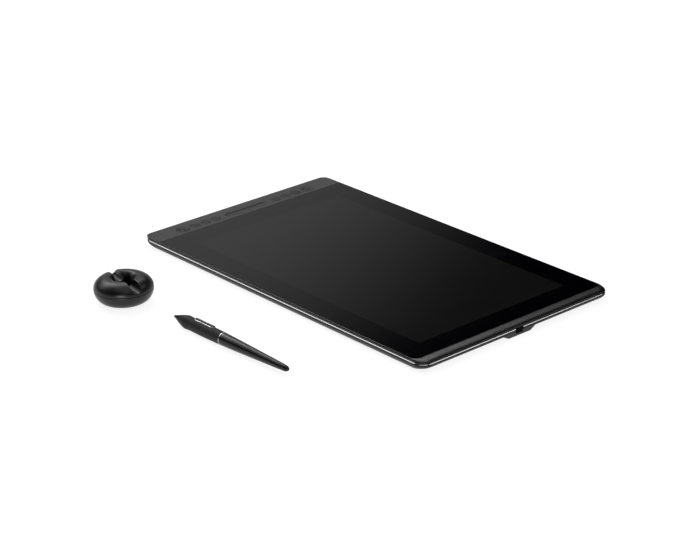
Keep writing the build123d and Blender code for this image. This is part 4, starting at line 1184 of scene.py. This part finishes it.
@dataclass
class Pen(Assembly):
    """The pen, turned on its own axis, with the rocker in its bezel.

    The nose, grip and barrel are told in shares of the pen's length and of its largest radius,
    the bezel and the rocker in insets from their outlines and heights, and the rest in
    distances and radii.
    """

    body: str = "pen"
    tip_x: float = -37.4
    tip_y: float = -219.5
    yaw: float = 1.3
    roll: float = 22.0
    length: float = 172.0
    radius: float = 6.9
    wall: float = 2.1
    neck_step: float = 2.2
    neck_end: float = 16.82
    fit: float = 0.1
    ease: float = 0.12
    nib: tuple[Point, ...] = ((0.0, 0.0), (0.05, 0.2), (0.18, 0.34), (0.4, 0.45), (1.0, 0.62),
                              (1.6, 0.8), (28.0, 0.8), (28.0, 0.0))
    nose: tuple[Point, ...] = ((0.014, 0.2), (0.025, 0.28), (0.037, 0.375), (0.049, 0.47),
                               (0.06, 0.56))
    nose_lip: tuple[Point, ...] = ((0.1, 0.95), (0.0, 1.05), (-0.02, 1.2))
    grip: tuple[Point, ...] = ((0.06, 0.56), (0.08, 0.71), (0.1, 0.85), (0.12, 0.975), (0.131, 1.0),
                               (0.143, 0.985), (0.16, 0.955), (0.185, 0.95), (0.22, 0.965),
                               (0.28, 0.985), (0.35, 0.97), (0.443, 0.94))
    grip_edge: float = 0.15
    grip_rise: float = 0.04
    barrel: tuple[Point, ...] = ((0.448, 0.935), (0.516, 0.895), (0.597, 0.825), (0.678, 0.748),
                                 (0.76, 0.668), (0.841, 0.593), (0.923, 0.515), (0.965, 0.455))
    barrel_edge: float = 0.1
    barrel_bores: tuple[Point, ...] = ((0.93, 2.1), (0.78, 2.1), (0.78, 3.4), (0.58, 3.4))
    ring_share: float = 0.948
    tail_turn: float = 84.0
    rocker_start: float = 32.0
    rocker_length: float = 28.7
    rocker_width: float = 5.0
    rocker_stand: float = 0.85
    rocker_gap: float = 0.3
    rocker_line: tuple[Point, ...] = ((0.0, -0.45), (0.06, -0.22), (0.2, -0.07), (0.42, 0.0),
                                      (0.9, 0.03), (1.5, 0.04), (2.2, 0.04))
    rocker_root: float = 0.3
    waist_depth: float = 0.2
    waist_reach: float = 1.7
    bezel: float = 0.7
    bezel_line: tuple[Point, ...] = ((0.0, -0.9), (0.0, 0.02), (0.08, 0.14), (0.22, 0.22),
                                     (0.38, 0.22), (0.55, 0.14), (0.66, 0.0), (0.7, -0.2),
                                     (0.7, -1.2))
    slot_heights: Point = (1.0, 12.0)
    around: int = 112

    def __post_init__(self) -> None:
        """Set the pen's axis, its bores and the line of its grip."""
        yaw, roll = math.radians(self.yaw), math.radians(self.roll)
        along = Vector((math.cos(yaw), math.sin(yaw), 0.0))
        up = Vector((-math.sin(yaw) * math.sin(roll), math.cos(yaw) * math.sin(roll),
                     math.cos(roll)))
        self.axle = Axle(Vector((self.tip_x, self.tip_y, self.radius)), along, up)
        self.bore = self.radius - self.wall
        self.neck_bore = self.bore - self.neck_step
        self.skin_line = through(self.sized(self.grip), 8)
        self.rocker_middle = self.rocker_start + self.rocker_length / 2

    def sized(self, shares: Sequence[Point]) -> list[Point]:
        """Turn shares into distances from the tip and radii."""
        return [(along * self.length, out * self.radius) for along, out in shares]

    def radius_at(self, distance: float, profile: Sequence[Point]) -> float:
        """Read a profile's radius at a distance from the tip.

        Args:
            distance: From the tip.
            profile: Distances from the tip and radii.

        Returns:
            The radius, or the profile's last one beyond its ends.
        """
        for (x0, r0), (x1, r1) in zip(profile, profile[1:]):
            if x0 <= distance <= x1:
                return r0 + (r1 - r0) * (distance - x0) / (x1 - x0)
        return profile[-1][1]

    def turned_piece(self, name: str, slot: str, profile: Sequence[Point], node: str,
                     looped: bool = True, body: str = "") -> None:
        """Turn a piece of the pen and put it in the scene.

        Args:
            name: The piece's name.
            slot: Its finish.
            profile: Distances from the tip and radii; a looped one closes on itself.
            node: The CAD node that it stands for.
            looped: The piece is hollow.
            body: The CAD body that it rides on, if not the pen's own.
        """
        form = Form()
        form.skin(self.axle.turned(profile, self.around), looped=looped)
        self.piece(form.mesh_data(name), slot, node, body=body)

    def front(self) -> None:
        """Turn the nib and the nose cone."""
        self.turned_piece("nib_turned", "nib_plastic", self.nib, "pen_nib", looped=False,
                          body="pen_nib")
        outer = through(self.sized(self.nose), 6)
        start, end = outer[0][0], outer[-1][0]
        lip = [(start + distance, radius) for distance, radius in self.nose_lip]
        neck = self.neck_bore - self.fit
        inner = [(end, neck), (self.neck_end, neck), (self.neck_end, self.nose_lip[0][1])]
        self.turned_piece("nose_turned", "pen_gloss", lip + outer + inner, "pen_nose")

    def grip_sleeve(self) -> None:
        """Turn the grip and cut the slot for the bezel out of its top."""
        (start, front), (end, back) = self.skin_line[0], self.skin_line[-1]
        edge = self.grip_edge
        outer = [(start, front - edge), (start + self.ease, front + self.grip_rise),
                 *self.skin_line[1:-1], (end - edge, back), (end, back - edge)]
        inner = [(end, self.bore), (self.neck_end, self.bore), (self.neck_end, self.neck_bore),
                 (start, self.neck_bore)]
        form = Form()
        form.skin(self.axle.turned(outer + inner, self.around), looped=True)
        cutter = Form()
        wide = 2 * (self.bezel + self.fit)
        line = slot_line(self.rocker_length + wide, self.rocker_width + wide, ends=16)
        cutter.skin([[self.axle.at(self.rocker_middle + u, v, height) for u, v in line]
                     for height in self.slot_heights], capped=True)
        data = carved(form.mesh_data("grip_sleeve"), cutter.mesh_data("slot_tool"))
        self.piece(data, "grip_rubber", "pen_grip")

    def draped(self, length: float, width: float, sections: Sequence[Point], looped: bool,
               base: Callable[[float], float]) -> Form:
        """Lay a slot-shaped piece round the pen's top.

        Args:
            length: Its overall length.
            width: Its overall width.
            sections: Insets from its outline and heights above its base.
            looped: A ring, and otherwise a solid piece.
            base: The base's radius at a distance from the tip.

        Returns:
            The form.
        """
        rings = []
        for inset, height in sections:
            ring = []
            for u, v in slot_line(length, width, inset, ends=16, straights=28):
                distance = self.rocker_middle + u
                out = base(distance) + height
                ring.append(self.axle.at(distance, v, math.sqrt(out * out - v * v)))
            rings.append(ring)
        form = Form()
        form.skin(rings, looped=looped)
        if not looped:
            form.close(rings[0])
        return form

    def button(self) -> None:
        """Form the bezel and the rocker, whose two ends rise a little from its waist."""
        wide, narrow = 2 * self.bezel, 2 * self.rocker_gap
        form = self.draped(self.rocker_length + wide, self.rocker_width + wide, self.bezel_line,
                           True, lambda x: self.radius_at(x, self.skin_line))
        self.piece(form.mesh_data("bezel_formed"), "pen_bright", "pen_rocker_bezel")
        top = self.radius + self.rocker_stand

        def seat(distance: float) -> float:
            """Give the rocker's top, lower at its waist."""
            away = (distance - self.rocker_middle) / self.waist_reach
            return top - self.waist_depth * math.exp(-away ** 2)

        sections = [(0.0, self.bore + self.rocker_root - top), *self.rocker_line]
        form = self.draped(self.rocker_length - narrow, self.rocker_width - narrow, sections,
                           False, seat)
        self.piece(form.mesh_data("rocker_formed"), "rocker_black", "pen_rocker", body="pen_rocker")

    def rear(self) -> None:
        """Turn the bright ring, the barrel and the tail."""
        end = self.grip[-1][0] * self.length
        line = through(self.sized(self.barrel), 8)
        (start, front), (tail_start, tail_radius) = line[0], line[-1]
        ease, edge, out = self.ease, self.barrel_edge, self.ring_share * self.radius
        ring = eased([(end, self.bore, 0.0), (end, out, ease), (start, out, ease),
                      (start, self.bore, 0.0)])
        self.turned_piece("ring_turned", "pen_bright", ring, "pen_ring")
        bores = [(share * self.length, radius) for share, radius in self.barrel_bores]
        barrel = [(start, front - ease), (start + ease, front), *line[1:-1],
                  (tail_start - edge, tail_radius), (tail_start, tail_radius - edge),
                  (tail_start, 0.0), (bores[0][0], 0.0), *bores, (bores[-1][0], self.bore),
                  (start, self.bore)]
        self.turned_piece("barrel_turned", "pen_gloss", barrel, "pen_barrel")
        reach = (self.length - tail_start, tail_radius)
        tail = [(tail_start, 0.0), (tail_start, tail_radius - ease),
                (tail_start + ease, tail_radius),
                *sweep((tail_start, 0.0), reach, self.tail_turn, 0, 20)]
        self.turned_piece("tail_turned", "pen_gloss", tail, "pen_tail", looped=False)

    def build(self) -> None:
        """Make the whole pen."""
        self.front()
        self.grip_sleeve()
        self.button()
        self.rear()


@dataclass
class PenStand(Assembly):
    """The round stand: its cap with the pen well and the saddle, its base and its foot.

    The seam's edge line is in shares of seam_edge: in from the side and away from the seam. The
    hollow's line is in shares of its depth and of its radius.
    """

    body: str = "stand"
    x: float = -113.2
    y: float = -224.7
    radius: float = 30.2
    height: float = 26.8
    seam: float = 15.2
    seam_gap: float = 0.3
    crown: float = 15.7
    sole: float = 18.0
    foot_height: float = 1.0
    foot_inner: float = 11.0
    foot_inset: float = 0.4
    foot_edges: Point = (0.2, 0.3)
    well: float = 8.25
    well_wall: float = 1.6
    well_floor: float = 4.7
    well_edge: tuple[Point, ...] = ((0.0, 1.0), (0.3, 0.3), (1.0, 0.0))
    well_neck: float = 3.0
    well_bottom: float = 3.5
    funnel: float = 9.2
    saddle: float = 5.0
    saddle_depth: float = 9.0
    saddle_yaw: float = -7.2
    saddle_wall: float = 1.6
    lip: float = 0.9
    lip_steps: int = 6
    floor_steps: int = 12
    side_steps: int = 16
    seam_edge: float = 0.45
    seam_line: tuple[Point, ...] = ((1.0, 0.0), (0.3, 0.1), (0.08, 0.4))
    spigot_gap: float = 0.3
    spigot_wall: float = 1.4
    spigot_depth: float = 3.0
    floor: float = 3.2
    wall: float = 2.6
    hollow_line: tuple[Point, ...] = ((0.74, 1.0), (0.4, 0.9), (0.0, 0.74), (0.0, 0.0))

    def __post_init__(self) -> None:
        """Set the stand's axis and the level of the axis of the saddle's round floor."""
        self.axle = upright(self.x, self.y)
        self.saddle_axis = self.height - self.saddle_depth + self.saddle

    def saddle_point(self, way: float) -> Point:
        """Give the point of the saddle's half section at a way along it from its middle.

        Args:
            way: Distance along the round floor and up the straight wall.

        Returns:
            Distance across and level.
        """
        quarter = self.saddle * math.pi / 2
        if way > quarter:
            return self.saddle, self.saddle_axis + way - quarter
        angle = way / self.saddle
        return self.saddle * math.sin(angle), self.saddle_axis - self.saddle * math.cos(angle)

    def quarter(self, out: float, level: float) -> list[Point]:
        """Give a ring's points from the saddle's middle to a quarter turn.

        Args:
            out: The ring's radius.
            level: The level that it has away from the saddle.

        Returns:
            Angles from the saddle's line, in radians, and levels.
        """
        axis = self.saddle_axis
        if level >= axis:
            way = self.saddle * math.pi / 2 + level - axis
        elif level > axis - self.saddle:
            way = self.saddle * math.acos((axis - level) / self.saddle)
        else:
            way = 0.0
        ease = min(self.lip, way / 2)
        edge = self.saddle_point(way)[0]
        start = self.saddle_point(way - ease)
        across = [self.saddle_point((way - ease) * step / self.floor_steps)
                  for step in range(self.floor_steps)]
        for step in range(self.lip_steps + 1):
            t = step / self.lip_steps
            v = start[0] * (1 - t) ** 2 + edge * 2 * t * (1 - t) + (edge + ease) * t * t
            z = start[1] * (1 - t) ** 2 + level * (2 * t * (1 - t) + t * t)
            across.append((v, z))
        if way == 0.0:
            across = [(0.0, level)] * len(across)
        points = [(math.asin(min(v / out, 1.0)) if out > 0 else 0.0, z) for v, z in across]
        last = points[-1][0]
        rest = math.pi / 2 - last
        return points + [(last + rest * step / self.side_steps, level)
                         for step in range(1, self.side_steps + 1)]

    def ring(self, out: float, level: float) -> Ring:
        """Give a whole ring of the cap, cut by the saddle on both sides.

        Args:
            out: The ring's radius.
            level: The level that it has away from the saddle.

        Returns:
            The ring's points.
        """
        part = self.quarter(out, level)
        turn = math.radians(self.saddle_yaw)
        ring = []
        for start, sign, points in ((0.0, 1, part), (math.pi, -1, part[::-1]),
                                    (math.pi, 1, part), (2 * math.pi, -1, part[::-1])):
            for angle, z in points[:-1]:
                a = turn + start + sign * angle
                ring.append(Vector((self.x + out * math.cos(a), self.y + out * math.sin(a), z)))
        return ring

    def cap(self) -> None:
        """Form the cap: its crown, funnel and well, the saddle across it and its spigot below."""
        low = self.seam + self.seam_gap / 2
        mouth = self.height - self.funnel
        outer = sweep((self.crown, low), (self.radius - self.crown, self.height - low), 4, 90, 72)
        seam = [(self.radius - inset * self.seam_edge, low + rise * self.seam_edge)
                for inset, rise in self.seam_line]
        inner = sweep((self.crown, mouth), (self.crown - self.well, self.funnel), 90, 180, 56)[1:]
        well = [(self.well, mouth - self.well_neck),
                *((self.well - inset, self.well_floor + rise) for inset, rise in self.well_edge),
                (0.0, self.well_floor)]
        spigot = self.radius - self.wall - self.spigot_gap
        bore, end = spigot - self.spigot_wall, low - self.spigot_depth
        under = self.height - self.saddle_depth - self.saddle_wall
        out = self.well + self.well_wall
        below = [(0.0, self.well_bottom), (out, self.well_bottom), (out, under), (bore, under),
                 (bore, end), (spigot, end), (spigot, low)]
        form = Form()
        form.skin([self.ring(*point) for point in seam + outer + inner + well + below], looped=True)
        self.piece(form.mesh_data("stand_crown", 50), "stand_satin", "stand_cap", body="stand_cap")

    def base(self) -> None:
        """Turn the base, hollow for what the stand holds, and its rubber foot."""
        top = self.seam - self.seam_gap / 2
        hollow = self.radius - self.wall
        deep = top - self.floor
        outer = sweep((self.sole, top), (self.radius - self.sole, top - self.foot_height),
                      -90, -4, 40)
        profile = [(z, r) for r, z in outer]
        profile += [(top - fall * self.seam_edge, self.radius - inset * self.seam_edge)
                    for inset, fall in reversed(self.seam_line)]
        profile += [(top, hollow), *((self.floor + rise * deep, share * hollow)
                                     for rise, share in self.hollow_line), (self.foot_height, 0.0)]
        form = Form()
        form.skin(self.axle.turned(profile, 144), looped=True)
        self.piece(form.mesh_data("stand_bowl", 50), "stand_satin", "stand_base")
        out, hole = self.sole - self.foot_inset, self.foot_inner
        inner_edge, outer_edge = self.foot_edges
        foot = eased([(0.0, hole, inner_edge), (0.0, out, outer_edge),
                      (self.foot_height, out, 0.0), (self.foot_height, hole, 0.0)])
        form = Form()
        form.skin(self.axle.turned(foot, 96), looped=True)
        self.piece(form.mesh_data("stand_tread"), "foot_rubber", "stand_foot")

    def build(self) -> None:
        """Make the stand."""
        self.cap()
        self.base()


def direction(azimuth: float, elevation: float) -> Vector:
    """Give the unit vector from the object towards an azimuth and elevation in degrees."""
    a, e = math.radians(azimuth), math.radians(elevation)
    return Vector((math.sin(a) * math.cos(e), -math.cos(a) * math.cos(e), math.sin(e)))


@dataclass(frozen=True)
class Lamp:
    """A soft rectangular lamp that faces the object.

    Angles are in degrees and lengths in metres. The radiance is the lamp's brightness as seen
    in a mirror, where one is white.
    """

    name: str
    azimuth: float
    elevation: float
    distance: float
    width: float
    height: float
    radiance: float

    def hang(self) -> None:
        """Put the lamp in the scene."""
        data = bpy.data.lights.new(self.name, "AREA")
        data.shape = "RECTANGLE"
        data.size, data.size_y = self.width, self.height
        data.energy = self.radiance * math.pi * self.width * self.height
        towards = direction(self.azimuth, self.elevation)
        lamp = bpy.data.objects.new(self.name, data)
        lamp.location = towards * self.distance
        lamp.rotation_mode = "QUATERNION"
        lamp.rotation_quaternion = towards.to_track_quat("Z", "Y")
        bpy.context.scene.collection.objects.link(lamp)


@dataclass
class Studio:
    """The camera, the pale floor, the surroundings and the lamps.

    The glow's start and full, and its side, are azimuths in degrees. Its top and the horizon are
    heights on a sphere of radius one.
    """

    azimuth: float = 49.86
    elevation: float = 23.28
    roll: float = -1.62
    distance: float = 2.25808
    target: tuple[float, float, float] = (-0.00538, -0.02062, 0.0)
    lens: float = 114.03
    floor_half: float = 30.0
    view_end: float = 100.0
    floor_tones: Point = (0.34, 0.36)
    floor_patches: float = 3.0
    floor_roughness: float = 0.9
    floor_lift: float = 0.86
    horizon: Point = (0.03, 0.14)
    glow: float = 0.325
    glow_start: float = -158.0
    glow_full: float = -148.0
    glow_side: Point = (-118.0, -96.0)
    glow_top: Point = (0.6, 0.85)
    lamps: tuple[Lamp, ...] = (
        Lamp("far softbox", 246, 51, 4.0, 3.0, 2.2, 2.4),
        Lamp("far strip light", 272, 43, 3.0, 1.6, 0.5, 5.0),
        Lamp("rim strip light", 222, 36, 3.0, 0.9, 0.2, 2.4),
        Lamp("overhead panel", 50, 84, 2.6, 2.4, 2.4, 0.8),
        Lamp("side softbox", 298, 34, 3.0, 1.3, 1.1, 1.4),
        Lamp("port softbox", 145, 45, 3.0, 2.0, 1.0, 1.2),
        Lamp("front softbox", 40, 6, 3.0, 1.0, 0.5, 15.0),
        Lamp("sheen panel", 62, 50, 3.0, 1.5, 0.7, 1.3),
    )

    def camera(self) -> None:
        """Set the camera where the photograph was taken from."""
        back = direction(self.azimuth, self.elevation)
        right = (-back).cross(Vector((0, 0, 1))).normalized()
        up = right.cross(-back)
        turn = math.radians(self.roll)
        right, up = (right * math.cos(turn) + up * math.sin(turn),
                     up * math.cos(turn) - right * math.sin(turn))
        data = bpy.data.cameras.new("camera")
        data.lens = self.lens
        data.clip_end = self.view_end
        camera = bpy.data.objects.new("camera", data)
        camera.matrix_world = Matrix((right, up, back)).transposed().to_4x4()
        camera.location = Vector(self.target) + back * self.distance
        bpy.context.scene.collection.objects.link(camera)
        bpy.context.scene.camera = camera

    def floor(self) -> None:
        """Lay the pale floor, which shows white and keeps the object's shadow."""
        mesh = bpy.data.meshes.new("floor")
        half = self.floor_half
        corners = [(-half, -half, 0), (half, -half, 0), (half, half, 0), (-half, half, 0)]
        mesh.from_pydata(corners, [], [(0, 1, 2, 3)])
        floor = bpy.data.objects.new("floor", mesh)
        bpy.context.scene.collection.objects.link(floor)
        material = bpy.data.materials.new("pale floor")
        material.use_nodes = True
        tree = Tree(material.node_tree)
        shader = material.node_tree.nodes["Principled BSDF"]
        shader.inputs["Roughness"].default_value = self.floor_roughness
        shader.inputs["Specular IOR Level"].default_value = 0.0
        paper = tree.add("ShaderNodeTexNoise", {"Vector": tree.place(),
                                                "Scale": self.floor_patches})
        tone = tree.blend(paper.outputs["Fac"], *(grey(level) for level in self.floor_tones))
        rays = tree.add("ShaderNodeLightPath")
        seen = tree.math("MAXIMUM", rays.outputs["Is Camera Ray"], rays.outputs["Is Glossy Ray"])
        seen = tree.math("MAXIMUM", seen, rays.outputs["Is Transmission Ray"])
        links = material.node_tree.links
        links.new(tone, shader.inputs["Base Color"])
        links.new(tree.math("MULTIPLY", seen, self.floor_lift), shader.inputs["Emission Strength"])
        shader.inputs["Emission Color"].default_value = (1.0, 1.0, 1.0, 1.0)
        mesh.materials.append(material)

    def surroundings(self) -> None:
        """Light the world: white at the horizon, a slanting glow at the far side, and dim above."""
        world = bpy.data.worlds.new("studio")
        world.use_nodes = True
        bpy.context.scene.world = world
        tree = Tree(world.node_tree)
        ground = world.node_tree.nodes["Background"]
        around = tree.add("ShaderNodeTexCoord").outputs["Generated"]
        axes = tree.add("ShaderNodeSeparateXYZ", {0: around})
        up = axes.outputs["Z"]
        horizon = tree.ramp(up, *self.horizon, 1.0, 0.0)
        turn = tree.math("ARCTAN2", axes.outputs["X"],
                         tree.math("MULTIPLY", axes.outputs["Y"], -1.0))
        slant = tree.math("SUBTRACT", turn, tree.math("ARCSINE", up))
        glow = tree.ramp(slant, math.radians(self.glow_start), math.radians(self.glow_full),
                         0.0, self.glow)
        side = [math.radians(angle) for angle in self.glow_side]
        glow = tree.math("MULTIPLY", glow, tree.ramp(turn, *side, 1.0, 0.0))
        glow = tree.math("MULTIPLY", glow, tree.ramp(up, *self.glow_top, 1.0, 0.0))
        world.node_tree.links.new(tree.math("MAXIMUM", horizon, glow), ground.inputs["Strength"])
        ground.inputs["Color"].default_value = (1.0, 1.0, 1.0, 1.0)

    def build(self) -> None:
        """Set up the whole studio."""
        bpy.context.scene.view_settings.view_transform = "Standard"
        self.camera()
        self.floor()
        self.surroundings()
        for lamp in self.lamps:
            lamp.hang()
        log.info("studio: camera, floor and lamps are set")


def dress_nodes() -> None:
    """Give every CAD node the material of its slot in the record."""
    for part in frame["record"]["subparts"]:
        PAINTSHOP.dress(part["node"], part["material_slot"])
        log.info("node %s is finished in %s", part["node"], part["material_slot"])


def main() -> None:
    """Build the studio, then dress and model each sub-assembly."""
    logging.basicConfig(level=logging.INFO, format="%(name)s: %(message)s")
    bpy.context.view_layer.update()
    Studio().build()
    dress_nodes()
    for assembly in (Face(), Underside(), Pen(), PenStand()):
        assembly.build()
        log.info("%s is finished", type(assembly).__name__)


if __name__ == "__main__":
    main()
